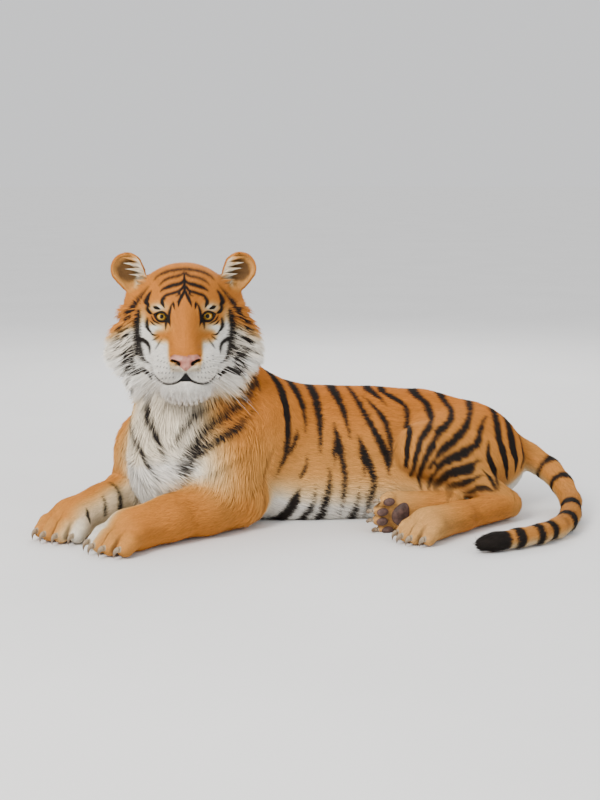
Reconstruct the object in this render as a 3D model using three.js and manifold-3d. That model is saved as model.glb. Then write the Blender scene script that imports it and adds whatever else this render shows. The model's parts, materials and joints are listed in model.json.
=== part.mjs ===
// A life-size Siberian tiger lying on its elbows and its right hip, its head turned to its left.
// Millimetres, +Z up. The trunk lies along Y with the chest towards -Y, and +X is the animal's left.
// The origin is on the floor under the middle of the trunk.
//
// The body is one smooth field of distance, joined from tapered limbs and balls that stand for the
// muscles under the coat. Each named piece is a mesh of that field, parted from its neighbours by
// flat cuts.
import * as THREE from "three";
import { mergeVertices } from "three/addons/utils/BufferGeometryUtils.js";
import Module from "manifold-3d";

const wasm = await Module();
wasm.setup();

// ---------------------------------------------------------------------------- driving dimensions
const CUT = 0.6; // gap between neighbouring pieces
const FLOOR = new THREE.Vector3(0, 0, -1);
const UP = new THREE.Vector3(0, 0, 1);

const HEAD = {
  centre: point(217, -500, 577), // between the ears
  pitch: 6.4, // degrees, nose up
  yaw: 90, // degrees from straight ahead towards the animal's left
};
const EYE = { side: 64, up: 38, forward: 90, radius: 21.5 };
const EAR = { side: 160, up: 174, radius: 50 };
const NOSE = { halfWidth: 44, low: -120, high: -56, root: 192, tip: 260 };

const FOREARM = { elbow: 84, middle: 82, wrist: 64, length: 335 };
const PAW = { width: 78, height: 51, toe: 26, spread: 40, toes: 118, reach: 228, turn: 6 };
const HIND_FOOT = { hock: 46, width: 64, height: 44, toe: 22, spread: 33, toes: 96 };
const CLAW = { length: 24, radius: 5.5, droop: 7 };

// ---------------------------------------------------------------------------------- small helpers
function point(x, y, z) {
  return new THREE.Vector3(x, y, z);
}

const between = (a, b, share) => a.clone().lerp(b, share);
const clamp = THREE.MathUtils.clamp;

// A local frame: at(side, up, forward) gives a point of the model. side points to the frame's left.
function frameAt(origin, forward, up = UP) {
  const ahead = forward.clone().normalize();
  const left = up.clone().cross(ahead).normalize();
  const top = ahead.clone().cross(left);
  const at = (side, high, far) =>
    origin.clone().addScaledVector(left, side).addScaledVector(top, high).addScaledVector(ahead, far);
  return { origin, ahead, left, top, at };
}

// ------------------------------------------------------------------------------------ field forms
// A limb between two points whose radius runs from one value to the other. Along side the radius is
// divided by flat, and blend is how far the limb melts into what it is joined to.
function limb(from, to, radiusFrom, radiusTo, { flat = 1, side = UP, blend = 40 } = {}) {
  const stretch = flat - 1;
  const start = from.clone().addScaledVector(side, from.dot(side) * stretch);
  const axis = to.clone().addScaledVector(side, to.dot(side) * stretch).sub(start);
  const lengthSq = Math.max(axis.lengthSq(), 1e-9);
  const q = new THREE.Vector3();
  const distance = (p) => {
    q.copy(p).addScaledVector(side, p.dot(side) * stretch).sub(start);
    const t = clamp(q.dot(axis) / lengthSq, 0, 1);
    q.addScaledVector(axis, -t);
    return (q.length() - (radiusFrom + (radiusTo - radiusFrom) * t)) * Math.min(1, 1 / flat);
  };
  return { distance, blend };
}

// An ellipsoid whose radii lie along a frame's left, top and ahead.
function ball(centre, radii, frame = body, blend = 40) {
  const [a, b, c] = radii;
  const q = new THREE.Vector3();
  const distance = (p) => {
    q.copy(p).sub(centre);
    const [x, y, z] = [q.dot(frame.left), q.dot(frame.top), q.dot(frame.ahead)];
    const k0 = Math.hypot(x / a, y / b, z / c);
    const k1 = Math.hypot(x / (a * a), y / (b * b), z / (c * c));
    return k1 < 1e-9 ? -Math.min(a, b, c) : (k0 * (k0 - 1)) / k1;
  };
  return { distance, blend };
}

function smoothMin(a, b, reach) {
  const h = Math.max(reach - Math.abs(a - b), 0) / reach;
  return Math.min(a, b) - (h * h * reach) / 4;
}

const joined = (forms) => (p) =>
  forms.reduce((d, form) => smoothMin(d, form.distance(p), form.blend), 1e3);

const carved = (distance, hollows) => (p) =>
  hollows.reduce((d, form) => -smoothMin(-d, form.distance(p), form.blend), distance(p));

// ------------------------------------------------------------------------------------------ trunk
const body = frameAt(point(0, 0, 0), point(0, -1, 0));

// Stations of the trunk from the rump to the breast: place, half width and half height.
const SPINE = {
  rump: [point(-15, 440, 134), 110, 120],
  hips: [point(-20, 350, 165), 150, 150],
  loin: [point(-20, 215, 180), 160, 174],
  belly: [point(-14, 60, 182), 172, 184],
  ribs: [point(-8, -90, 185), 180, 186],
  girth: [point(16, -225, 188), 178, 192],
  shoulders: [point(80, -360, 196), 170, 206],
  chest: [point(165, -470, 192), 145, 186],
  breast: [point(222, -540, 190), 105, 145],
};

// A stretch of the trunk between two stations, as an oval limb.
function stretchOfTrunk([from, wideFrom, highFrom], [to, wideTo, highTo]) {
  const across = to.clone().sub(from).cross(UP).normalize();
  const flat = (highFrom + highTo) / (wideFrom + wideTo);
  return limb(from, to, highFrom, highTo, { flat, side: across, blend: 50 });
}

function trunkForms() {
  const stations = Object.values(SPINE);
  const stretches = stations.slice(1).map((next, i) => stretchOfTrunk(stations[i], next));
  const nape = [
    limb(point(36, -300, 258), point(120, -440, 420), 146, 138, { blend: 90 }),
    limb(point(120, -440, 420), point(172, -495, 530), 138, 118, { blend: 60 }),
  ];
  const bib = limb(point(190, -532, 300), point(194, -512, 420), 128, 118, { blend: 60 });
  const sag = [
    limb(point(106, -190, 80), point(108, 110, 78), 104, 96, { blend: 60 }),
    limb(point(-100, -190, 78), point(-110, 110, 76), 92, 92, { blend: 60 }),
  ];
  return [...stretches, ...nape, bib, ...sag];
}

// --------------------------------------------------------------------------------------- forelegs
// A foreleg lies on the floor from its elbow to its toes, under a shoulder that stands on the elbow.
const FORELEGS = {
  left: {
    elbow: point(188, -282, 0),
    toes: point(534, -745, 0),
    shoulder: point(236, -392, 205),
    blade: point(110, -268, 290),
  },
  right: {
    elbow: point(-36, -520, 0),
    toes: point(392, -884, 0),
    shoulder: point(92, -604, 214),
    blade: point(-30, -420, 285),
  },
};

function forelegFrame({ elbow, toes }) {
  return frameAt(elbow, toes.clone().sub(elbow));
}

// A paw's frame stands on the floor at the tips of its toes, turned a little outwards.
function pawFrame({ elbow, toes }) {
  const ahead = toes.clone().sub(elbow).applyAxisAngle(UP, THREE.MathUtils.degToRad(PAW.turn));
  return frameAt(toes, ahead);
}

function forelegForms(leg) {
  const f = forelegFrame(leg);
  const paw = pawFrame(leg);
  const elbow = f.at(0, FOREARM.elbow, 78);
  const forearm = f.at(0, FOREARM.middle, 215);
  const wrist = f.at(0, FOREARM.wrist + 5, FOREARM.length);
  const knuckles = paw.at(0, PAW.height, -PAW.toes);
  const shoulder = [
    limb(leg.blade, leg.shoulder, 92, 88, { blend: 80 }),
    limb(leg.shoulder, elbow, 88, FOREARM.elbow, { blend: 60 }),
    limb(leg.shoulder, f.at(0, 100, 190), 86, 76, { blend: 60 }),
  ];
  const forearmForms = [
    limb(elbow, forearm, FOREARM.elbow, FOREARM.middle, { blend: 30 }),
    limb(forearm, wrist, FOREARM.middle, FOREARM.wrist, { blend: 30 }),
    limb(wrist, knuckles, FOREARM.wrist * 0.74, PAW.width * 0.74, {
      flat: 0.74,
      side: paw.left,
      blend: 30,
    }),
    limb(wrist, knuckles, FOREARM.wrist, 58, { blend: 30 }),
  ];
  return { shoulder, forearmForms, toes: toeForms(paw, PAW) };
}

// Four toes side by side, the middle two longest, from the knuckles to the tips.
const TOES = [-1.5, -0.5, 0.5, 1.5];
const toeEnd = (place) => -9 * place * place;

function toeForms(f, foot) {
  return TOES.flatMap((place) => {
    const side = place * foot.spread;
    const from = f.at(side * 0.82, foot.height * 1.1, -foot.toes);
    const middle = f.at(side, foot.toe * 1.6, toeEnd(place) - foot.toe * 1.95);
    const tip = f.at(side * 1.04, foot.toe * 0.95, toeEnd(place) - foot.toe);
    return [
      limb(from, middle, foot.toe, foot.toe * 1.06, { blend: 12 }),
      limb(middle, tip, foot.toe * 1.06, foot.toe * 0.95, { blend: 6 }),
    ];
  });
}

// --------------------------------------------------------------------------------------- hind legs
// The hips are rolled on to the right one. The left leg lies over the right and stands its foot
// beside the belly; the right leg lies flat, and its foot shows its sole.
const HIND_LEFT = {
  hip: point(40, 378, 176),
  haunch: point(100, 318, 172),
  knee: point(216, 192, 222),
  hock: point(218, 448, 50),
  toes: point(484, 98, 0),
};
const HIND_RIGHT = {
  hip: point(-80, 380, 140),
  thigh: point(-60, 240, 100),
  knee: point(112, 142, 98),
  heel: point(250, 270, 58),
  toes: point(312, 18, 54),
};
// Its foot is pressed narrower as it lies on its side.
const LYING_FOOT = { ...HIND_FOOT, width: 56, spread: 28, toe: 21 };

// A hind foot's frame stands on its sole at the tips of the toes.
function hindLeftFrame() {
  const { hock, toes } = HIND_LEFT;
  return frameAt(toes, toes.clone().sub(hock).setZ(0));
}

function hindRightFrame() {
  const { heel, toes } = HIND_RIGHT;
  const f = frameAt(toes, toes.clone().sub(heel), point(-1, -0.12, 0.15));
  return frameAt(f.at(0, -LYING_FOOT.height, 0), f.ahead, f.top);
}

function hindLeftForms() {
  const { hip, haunch, knee, hock } = HIND_LEFT;
  const f = hindLeftFrame();
  const instep = f.at(0, 46, -230);
  const thigh = [
    ball(haunch, [130, 136, 190], frameAt(haunch, point(0.25, -1, -0.1)), 60),
    limb(hip, knee, 128, 76, { blend: 60 }),
    limb(knee, hock, 72, HIND_FOOT.hock, { blend: 30 }),
  ];
  const foot = [
    limb(hock, instep, HIND_FOOT.hock, 46, { blend: 20 }),
    limb(instep, f.at(0, HIND_FOOT.height, -HIND_FOOT.toes), 46, 48, { blend: 20 }),
    limb(instep, f.at(0, HIND_FOOT.height, -HIND_FOOT.toes), 36, HIND_FOOT.width * 0.74, {
      flat: 0.74,
      side: f.left,
      blend: 20,
    }),
  ];
  return { thigh, foot, toes: toeForms(f, HIND_FOOT) };
}

function hindRightForms() {
  const { hip, thigh, knee, heel } = HIND_RIGHT;
  const f = hindRightFrame();
  const knuckles = f.at(0, LYING_FOOT.height, -LYING_FOOT.toes);
  const upper = [
    limb(hip, thigh, 132, 100, { blend: 60 }),
    limb(thigh, knee, 98, 84, { blend: 60 }),
    limb(knee, heel, 84, 48, { blend: 30 }),
  ];
  const foot = [
    limb(heel, knuckles, 44, 44, { blend: 20 }),
    limb(heel, knuckles, 34, LYING_FOOT.width * 0.74, { flat: 0.74, side: f.left, blend: 20 }),
  ];
  return { thigh: upper, foot, toes: toeForms(f, LYING_FOOT) };
}

// ------------------------------------------------------------------------------------------- tail
const TAIL = [
  [point(-15, 470, 196), 56],
  [point(0, 562, 148), 46],
  [point(40, 618, 114), 41],
  [point(105, 643, 80), 38],
  [point(195, 646, 49), 36],
  [point(298, 618, 35), 35],
  [point(380, 584, 34), 34],
  [point(448, 540, 33), 33],
  [point(506, 475, 32), 32],
  [point(545, 402, 31), 31],
  [point(572, 334, 30), 29],
  [point(579, 300, 27), 26],
];

// Where the tail is cut, from its tip, and how far to each side the cut reaches.
const TAIL_CUTS = [
  [9, 120],
  [7, 120],
  [4, 120],
  [1, 215],
];

const tailForms = () =>
  TAIL.slice(1).map(([to, radius], i) => limb(TAIL[i][0], to, TAIL[i][1], radius, { blend: 14 }));

// ------------------------------------------------------------------------------------------- head
const yaw = THREE.MathUtils.degToRad(HEAD.yaw);
const pitch = THREE.MathUtils.degToRad(HEAD.pitch);
const head = frameAt(
  HEAD.centre,
  point(Math.sin(yaw) * Math.cos(pitch), -Math.cos(yaw) * Math.cos(pitch), Math.sin(pitch)),
);

// The same form on both sides of the head.
const mirrored = (make) => [-1, 1].map(make);

function headForms() {
  const on = (centre, radii, blend) => ball(head.at(...centre), radii, head, blend);
  const bar = (from, to, a, b, options) => limb(head.at(...from), head.at(...to), a, b, options);
  return [
    on([0, 72, 5], [140, 123, 118], 40),
    on([0, -20, 36], [108, 112, 90], 50),
    bar([0, 74, 84], [0, -66, 178], 56, 36, { blend: 50 }),
    ...mirrored((s) => on([s * 56, 66, 78], [46, 30, 40], 30)),
    ...mirrored((s) => on([s * 98, -14, 30], [70, 84, 60], 50)),
    ...mirrored((s) => bar([s * 44, -100, 152], [s * 54, -88, 112], 44, 46, { blend: 20 })),
    bar([0, -74, 172], [0, -84, 196], 36, 26, { blend: 16 }),
    on([0, -152, 138], [54, 36, 44], 20),
    on([0, -172, 118], [62, 34, 44], 20),
    on([0, -106, 60], [112, 86, 84], 50),
    // the ruff
    ...mirrored((s) => bar([s * 124, 66, -12], [s * 156, -58, -12], 52, 66, { blend: 40 })),
    ...mirrored((s) => bar([s * 156, -58, -12], [s * 112, -138, 8], 66, 56, { blend: 30 })),
    ...mirrored((s) => bar([s * 112, -138, 8], [s * 50, -150, 40], 56, 50, { blend: 30 })),
  ];
}

// The eye openings and the parting of the lips.
const headHollows = () => [
  ...mirrored((s) => ball(head.at(s * EYE.side, EYE.up, EYE.forward + 32), [27, 15, 26], head, 10)),
  ball(head.at(0, -128, 190), [25, 12, 34], head, 8),
];

const earForms = () =>
  mirrored((s) =>
    limb(head.at(s * 126, 118, -4), head.at(s * EAR.side, EAR.up, 0), 40, EAR.radius, {
      flat: 2.2,
      side: head.ahead,
      blend: 16,
    }),
  );
const earHollows = () =>
  mirrored((s) => ball(head.at(s * (EAR.side - 2), EAR.up - 8, 27), [33, 40, 22], head, 8));

// ------------------------------------------------------------------------------------- the field
const fore = { left: forelegForms(FORELEGS.left), right: forelegForms(FORELEGS.right) };
const hindLeft = hindLeftForms();
const hindRight = hindRightForms();

const core = joined([
  ...trunkForms(),
  ...fore.left.shoulder,
  ...fore.right.shoulder,
  ...hindLeft.thigh,
  ...hindRight.thigh,
]);
const limbs = [
  { distance: joined([...fore.left.forearmForms, ...fore.left.toes]), blend: 12 },
  { distance: joined([...fore.right.forearmForms, ...fore.right.toes]), blend: 12 },
  { distance: joined([...hindLeft.foot, ...hindLeft.toes]), blend: 10 },
  { distance: joined([...hindRight.foot, ...hindRight.toes]), blend: 8 },
  { distance: joined(tailForms()), blend: 14 },
];
const headField = carved(joined(headForms()), headHollows());
const earField = carved(joined(earForms()), earHollows());

function wholeBody(p) {
  let d = core(p);
  for (const part of limbs) d = smoothMin(d, part.distance(p), part.blend);
  d = smoothMin(d, headField(p), 30);
  return smoothMin(d, earField(p), 14);
}

// ---------------------------------------------------------------------------------------- meshing
// Surface nets: one vertex in each cell that the surface crosses, moved onto the surface, and one
// quad across each grid edge that it crosses.
function meshField(distance, box, cell) {
  const low = box.min.clone().addScalar(-1.5 * cell);
  const count = box.max.clone().sub(low).divideScalar(cell).addScalar(2.5).floor().toArray();
  const [nx, ny, nz] = count;
  const at = (i, j, k) => (k * ny + j) * nx + i;
  const values = new Float64Array(nx * ny * nz);
  const p = new THREE.Vector3();
  for (let k = 0; k < nz; k++)
    for (let j = 0; j < ny; j++)
      for (let i = 0; i < nx; i++) {
        const rim = i === 0 || j === 0 || k === 0 || i === nx - 1 || j === ny - 1 || k === nz - 1;
        p.set(i, j, k).multiplyScalar(cell).add(low);
        values[at(i, j, k)] = rim ? cell : distance(p) || 1e-6;
      }
  fillSaddles(values, count, at);

  const vertices = [];
  const vertexOf = new Map();
  const corners = [0, 1, 2, 3, 4, 5, 6, 7].map((c) => [c & 1, (c >> 1) & 1, c >> 2]);
  const edges = [];
  corners.forEach((a, i) =>
    corners.forEach((b, j) => {
      if (i < j && Math.abs(a[0] - b[0]) + Math.abs(a[1] - b[1]) + Math.abs(a[2] - b[2]) === 1)
        edges.push([i, j]);
    }),
  );
  for (let k = 0; k < nz - 1; k++)
    for (let j = 0; j < ny - 1; j++)
      for (let i = 0; i < nx - 1; i++) {
        const v = corners.map(([a, b, c]) => values[at(i + a, j + b, k + c)]);
        if (v.every((x) => x < 0) || v.every((x) => x > 0)) continue;
        const sum = new THREE.Vector3();
        let crossings = 0;
        for (const [a, b] of edges)
          if (v[a] < 0 !== v[b] < 0) {
            const t = v[a] / (v[a] - v[b]);
            sum.x += corners[a][0] + (corners[b][0] - corners[a][0]) * t;
            sum.y += corners[a][1] + (corners[b][1] - corners[a][1]) * t;
            sum.z += corners[a][2] + (corners[b][2] - corners[a][2]) * t;
            crossings++;
          }
        sum.divideScalar(crossings).add(p.set(i, j, k)).multiplyScalar(cell).add(low);
        vertexOf.set(at(i, j, k), vertices.length / 3);
        vertices.push(...ontoSurface(distance, sum, cell).toArray());
      }

  const faces = [];
  const steps = [[1, 0, 0], [0, 1, 0], [0, 0, 1]];
  for (let k = 0; k < nz - 1; k++)
    for (let j = 0; j < ny - 1; j++)
      for (let i = 0; i < nx - 1; i++)
        steps.forEach(([a, b, c], axis) => {
          const inside = values[at(i, j, k)] < 0;
          if (inside === values[at(i + a, j + b, k + c)] < 0) return;
          const [u, w] = [steps[(axis + 1) % 3], steps[(axis + 2) % 3]];
          const quad = [[0, 0], [1, 0], [1, 1], [0, 1]].map(([s, t]) =>
            vertexOf.get(at(i - s * u[0] - t * w[0], j - s * u[1] - t * w[1], k - s * u[2] - t * w[2])),
          );
          if (!inside) quad.reverse();
          faces.push(quad[0], quad[1], quad[2], quad[0], quad[2], quad[3]);
        });
  return new THREE.BufferGeometry()
    .setAttribute("position", new THREE.BufferAttribute(new Float32Array(vertices), 3))
    .setIndex(faces);
}

// A cell face with opposite corners inside and the other two outside would make an edge with four
// faces, so its nearest outside corner is moved inside.
function fillSaddles(values, [nx, ny, nz], at) {
  const planes = [[1, 0, 0, 0, 1, 0], [0, 1, 0, 0, 0, 1], [0, 0, 1, 1, 0, 0]];
  for (let again = true; again; ) {
    again = false;
    for (let k = 0; k < nz - 1; k++)
      for (let j = 0; j < ny - 1; j++)
        for (let i = 0; i < nx - 1; i++)
          for (const [a, b, c, d, e, f] of planes) {
            const ring = [
              at(i, j, k),
              at(i + a, j + b, k + c),
              at(i + a + d, j + b + e, k + c + f),
              at(i + d, j + e, k + f),
            ];
            const [p, q, r, s] = ring.map((n) => values[n] < 0);
            if (p !== r || q !== s || p === q) continue;
            const outside = ring.filter((n) => values[n] > 0).sort((m, n) => values[m] - values[n]);
            values[outside[0]] = -1e-3;
            again = true;
          }
  }
}

// Moves a point along the field's slope until the field is zero there, by at most half a cell.
function ontoSurface(distance, start, cell) {
  const p = start.clone();
  const h = 0.5;
  const q = new THREE.Vector3();
  for (let step = 0; step < 3; step++) {
    const d = distance(p);
    const slope = new THREE.Vector3(
      distance(q.copy(p).setX(p.x + h)) - d,
      distance(q.copy(p).setY(p.y + h)) - d,
      distance(q.copy(p).setZ(p.z + h)) - d,
    ).divideScalar(h);
    p.addScaledVector(slope, -d / Math.max(slope.lengthSq(), 0.2));
  }
  return p.sub(start).clampLength(0, cell / 2).add(start);
}

// ------------------------------------------------------------------------------- solids and pieces
function solidOf(geometry) {
  const bare = geometry.clone();
  bare.deleteAttribute("normal");
  bare.deleteAttribute("uv");
  const merged = mergeVertices(bare, 1e-4);
  return new wasm.Manifold(
    new wasm.Mesh({
      numProp: 3,
      vertProperties: new Float32Array(merged.attributes.position.array),
      triVerts: new Uint32Array(merged.index.array),
    }),
  );
}

function geometryOf(solid) {
  const mesh = solid.getMesh();
  const geometry = new THREE.BufferGeometry()
    .setAttribute("position", new THREE.BufferAttribute(new Float32Array(mesh.vertProperties), 3))
    .setIndex(new THREE.BufferAttribute(new Uint32Array(mesh.triVerts), 1));
  geometry.computeVertexNormals();
  return geometry;
}

// A box in a frame, from one corner to the other, grown by a margin on every side.
function boxIn(frame, low, high, margin = 0) {
  const size = high.map((x, i) => x - low[i] + 2 * margin);
  const middle = high.map((x, i) => (x + low[i]) / 2);
  const turn = new THREE.Matrix4().makeBasis(frame.left, frame.top, frame.ahead);
  return new THREE.BoxGeometry(...size).applyMatrix4(turn.setPosition(frame.at(...middle)));
}

const MATERIALS = {
  coat: new THREE.MeshStandardMaterial({ color: 0xc4742a, roughness: 0.85, metalness: 0 }),
  pale_coat: new THREE.MeshStandardMaterial({ color: 0xe9e0d0, roughness: 0.85, metalness: 0 }),
  dark_coat: new THREE.MeshStandardMaterial({ color: 0x241c18, roughness: 0.85, metalness: 0 }),
  nose: new THREE.MeshStandardMaterial({ color: 0xc27a6c, roughness: 0.5, metalness: 0 }),
  eye: new THREE.MeshStandardMaterial({ color: 0xb98d2e, roughness: 0.1, metalness: 0 }),
  claw: new THREE.MeshStandardMaterial({ color: 0xcfc4b0, roughness: 0.35, metalness: 0 }),
  pad: new THREE.MeshStandardMaterial({ color: 0x5a4742, roughness: 0.7, metalness: 0 }),
};

const tiger = new THREE.Group();
tiger.name = "siberian_tiger";

function addPiece(name, geometry, material) {
  const mesh = new THREE.Mesh(geometry, MATERIALS[material]);
  mesh.name = name;
  tiger.add(mesh);
}

const aboveFloor = solidOf(boxIn(body, [-2000, 0, -2000], [2000, 2000, 2000]));
const taken = []; // what earlier pieces and fittings have claimed, grown by the cut
const insets = []; // eyes, claws and pads, which sit in sockets

// The largest body of a solid: a cut can leave crumbs beside it.
const largest = (solid) =>
  solid.decompose().reduce((best, one) => (one.volume() > best.volume() ? one : best));

// Cuts the body's flesh inside a box into a piece of its own.
function partBody(name, material, cell, frame, low, high) {
  const region = boxIn(frame, low, high);
  region.computeBoundingBox();
  const box = region.boundingBox.intersect(BODY_BOX);
  let solid = solidOf(meshField(wholeBody, box, cell)).intersect(solidOf(region)).intersect(aboveFloor);
  for (const claim of [...taken, ...insets]) solid = solid.subtract(claim);
  addPiece(name, geometryOf(largest(solid)), material);
  taken.push(solidOf(boxIn(frame, low, high, CUT)));
}
const BODY_BOX = new THREE.Box3(point(-330, -1010, -30), point(680, 740, 840));

// An eyeball, claw or pad, whose socket is the same shape a little larger.
function addInset(name, material, make) {
  addPiece(name, geometryOf(solidOf(make(0)).intersect(aboveFloor)), material);
  insets.push(solidOf(make(CUT)));
}

function eyeball(side) {
  return (grow) => {
    const centre = head.at(side * EYE.side, EYE.up, EYE.forward);
    return new THREE.SphereGeometry(EYE.radius + grow, 10, 7).translate(...centre.toArray());
  };
}

// A claw: a cone that bends down towards its tip, from inside the toe.
function claw(f, side, high, root) {
  return (grow) => {
    const cone = new THREE.ConeGeometry(CLAW.radius + grow, CLAW.length + 2 * grow, 5, 1);
    const place = cone.attributes.position;
    const p = new THREE.Vector3();
    for (let i = 0; i < place.count; i++) {
      p.fromBufferAttribute(place, i);
      const far = clamp(p.y / CLAW.length + 0.5, 0, 1);
      const at = f.at(side + p.x * 0.75, high + p.z - CLAW.droop * far * far, root + p.y);
      place.setXYZ(i, at.x, at.y, at.z);
    }
    // the frame's left, top and ahead turn the cone's own x, z and y inside out
    const index = cone.index.array;
    for (let i = 0; i < index.length; i += 3) [index[i], index[i + 1]] = [index[i + 1], index[i]];
    return cone;
  };
}

function addClaws(label, f, foot) {
  TOES.forEach((place, i) => {
    const root = toeEnd(place) - 6;
    addInset(`claw_${label}_${i + 1}`, "claw", claw(f, place * foot.spread * 1.05, foot.toe, root));
  });
}

// A pad of the upturned sole: an oval cushion let into the foot.
function pad(f, side, under, forward, radii) {
  return (grow) => {
    const turn = new THREE.Matrix4().makeBasis(f.left, f.top, f.ahead);
    turn.setPosition(f.at(side, under, forward));
    return new THREE.SphereGeometry(1, 7, 5).scale(...radii.map((r) => r + grow)).applyMatrix4(turn);
  };
}

// ----------------------------------------------------------------------------- assembly of pieces
const legs = { left: forelegFrame(FORELEGS.left), right: forelegFrame(FORELEGS.right) };
const paws = { left: pawFrame(FORELEGS.left), right: pawFrame(FORELEGS.right) };
const footLeft = hindLeftFrame();
const footRight = hindRightFrame();

addInset("eye_right", "eye", eyeball(-1));
addInset("eye_left", "eye", eyeball(1));
for (const side of ["left", "right"]) addClaws(`fore_${side}`, paws[side], PAW);
addClaws("hind_left", footLeft, HIND_FOOT);
addClaws("hind_right", footRight, LYING_FOOT);
TOES.forEach((place, i) => {
  const cushion = pad(footRight, place * LYING_FOOT.spread * 1.04, 6, toeEnd(place) - 28, [12, 10, 18]);
  addInset(`pad_hind_right_${i + 1}`, "pad", cushion);
});
addInset("pad_hind_right_main", "pad", pad(footRight, 0, 5, -88, [38, 14, 28]));

const noseLow = [-NOSE.halfWidth, NOSE.low, NOSE.root];
partBody("nose", "nose", 16, head, noseLow, [NOSE.halfWidth, NOSE.high, NOSE.tip]);
partBody("ear_right", "dark_coat", 17, head, [-240, 124, -70], [-112, 250, 60]);
partBody("ear_left", "dark_coat", 17, head, [112, 124, -70], [240, 250, 60]);
partBody("lower_jaw", "pale_coat", 22, head, [-68, -216, 104], [68, -132, 260]);
partBody("face", "coat", 21.5, head, [-112, -132, 50], [112, 100, 270]);
partBody("head", "coat", 44, head, [-300, -212, 20], [300, 260, 270]);
partBody("nape", "coat", 60, head, [-300, -212, -125], [300, 260, 20]);

for (const side of ["left", "right"]) {
  partBody(`forepaw_${side}`, "coat", 33, paws[side], [-110, -20, -PAW.reach + 20], [110, 140, 60]);
  partBody(`forearm_${side}`, "coat", 56, legs[side], [-92, -20, -14], [96, 168, FOREARM.length + 60]);
}
const neck = frameAt(point(60, -330, 330), point(0.2, -0.28, 0.94), point(0, -1, 0));
partBody("neck", "coat", 62, neck, [-400, -400, 0], [400, 400, 400]);
const forequarters = frameAt(point(160, -450, 0), point(0.707, -0.707, 0));
partBody("upper_foreleg_left", "coat", 50, forequarters, [80, -20, -130], [320, 400, 220]);
partBody("upper_foreleg_right", "coat", 50, forequarters, [-320, -20, -130], [-80, 400, 220]);
partBody("hind_foot_left", "coat", 32, footLeft, [-80, -20, -200], [90, 110, 60]);
partBody("shank_left", "coat", 40, footLeft, [-44, -20, -520], [120, 110, -200]);
partBody("hind_foot_right", "coat", 35, footRight, [-66, -30, -135], [66, 104, 60]);
partBody("shank_right", "coat", 48, body, [130, -20, -300], [330, 152, -30]);
partBody("thigh_left", "coat", 52, body, [110, 152, -620], [400, 420, -95]);
partBody("thigh_right", "coat", 52, body, [-400, -20, -560], [-130, 420, -120]);
TAIL_CUTS.forEach(([joint, side], i) => {
  const along = TAIL[joint + 1][0].clone().sub(TAIL[joint - 1][0]);
  const name = `tail_${TAIL_CUTS.length - i}`;
  partBody(name, "coat", 38, frameAt(TAIL[joint][0], along), [-side, -140, 0], [side, 140, 330]);
});
partBody("trunk", "coat", 86, body, [-700, -20, -700], [700, 900, 1000]);

export default tiger;
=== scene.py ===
"""A life-size Siberian tiger lying on its elbows and its right hip: its skin, coat, eyes, claws and stage.

The body is a smooth field of distance, in millimetres in the frame's axes, joined from tapered limbs and
balls that stand for the muscles under the coat. The skin is a mesh of that field, drawn in by the depth of
the coat. The coat's tufts are rooted on the skin and reach out to the field's own surface.
"""

import json
import math
from collections import namedtuple
from functools import lru_cache

import bpy
import numpy as np
from bpy.props import FloatProperty, FloatVectorProperty, IntProperty, PointerProperty
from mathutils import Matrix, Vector

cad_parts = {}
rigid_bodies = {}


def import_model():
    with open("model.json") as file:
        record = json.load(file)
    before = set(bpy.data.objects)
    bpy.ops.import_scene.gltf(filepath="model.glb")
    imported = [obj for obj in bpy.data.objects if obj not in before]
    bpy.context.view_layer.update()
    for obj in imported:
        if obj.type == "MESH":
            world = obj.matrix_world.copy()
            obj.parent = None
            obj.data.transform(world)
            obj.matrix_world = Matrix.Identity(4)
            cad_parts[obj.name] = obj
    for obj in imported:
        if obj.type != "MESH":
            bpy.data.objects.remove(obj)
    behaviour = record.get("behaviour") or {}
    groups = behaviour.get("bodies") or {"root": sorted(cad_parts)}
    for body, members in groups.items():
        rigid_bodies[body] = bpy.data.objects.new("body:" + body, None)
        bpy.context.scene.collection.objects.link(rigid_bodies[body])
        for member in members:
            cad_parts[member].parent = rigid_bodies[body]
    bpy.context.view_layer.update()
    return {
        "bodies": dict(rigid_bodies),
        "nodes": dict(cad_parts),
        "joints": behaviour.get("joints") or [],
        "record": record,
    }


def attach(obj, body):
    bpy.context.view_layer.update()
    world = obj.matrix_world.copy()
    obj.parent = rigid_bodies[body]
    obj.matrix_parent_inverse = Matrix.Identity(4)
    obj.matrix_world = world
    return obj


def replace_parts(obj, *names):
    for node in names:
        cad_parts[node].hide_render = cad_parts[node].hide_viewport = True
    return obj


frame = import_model()

bl_info = {
    "name": "Siberian Tiger",
    "version": (1, 0, 0),
    "blender": (4, 5, 0),
    "location": "3D View > Sidebar > Tiger",
    "description": "Skin, coat, eyes, claws and stage of a lying tiger",
    "category": "Object",
}

MM = 0.001
SEED = 1201


# -------------------------------------------------------------------------------------- body's forms
UP = np.array([0.0, 0.0, 1.0])
Form = namedtuple("Form", "distance blend lie low high")
Frame = namedtuple("Frame", "origin left top ahead")
SIDES = (-1, 1)


def point(x, y, z):
    return np.array([x, y, z], float)


def unit(v):
    return v / max(np.linalg.norm(v), 1e-12)


def unit_rows(v):
    return v / np.maximum(np.linalg.norm(v, axis=1, keepdims=True), 1e-9)


def smooth(x, start, end):
    """0 at the start, 1 at the end and a smooth step between them."""
    t = np.clip((x - start) / (end - start), 0, 1)
    return t * t * (3 - 2 * t)


def frame_at(origin, forward, up=UP):
    """A frame that looks forward, with its top as near to up as it can be."""
    ahead = unit(forward)
    left = unit(np.cross(up, ahead))
    return Frame(origin, left, np.cross(ahead, left), ahead)


def at(f, side, high, far):
    """The point that lies so far to a frame's left, up and ahead."""
    return f.origin + f.left * side + f.top * high + f.ahead * far


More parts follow.
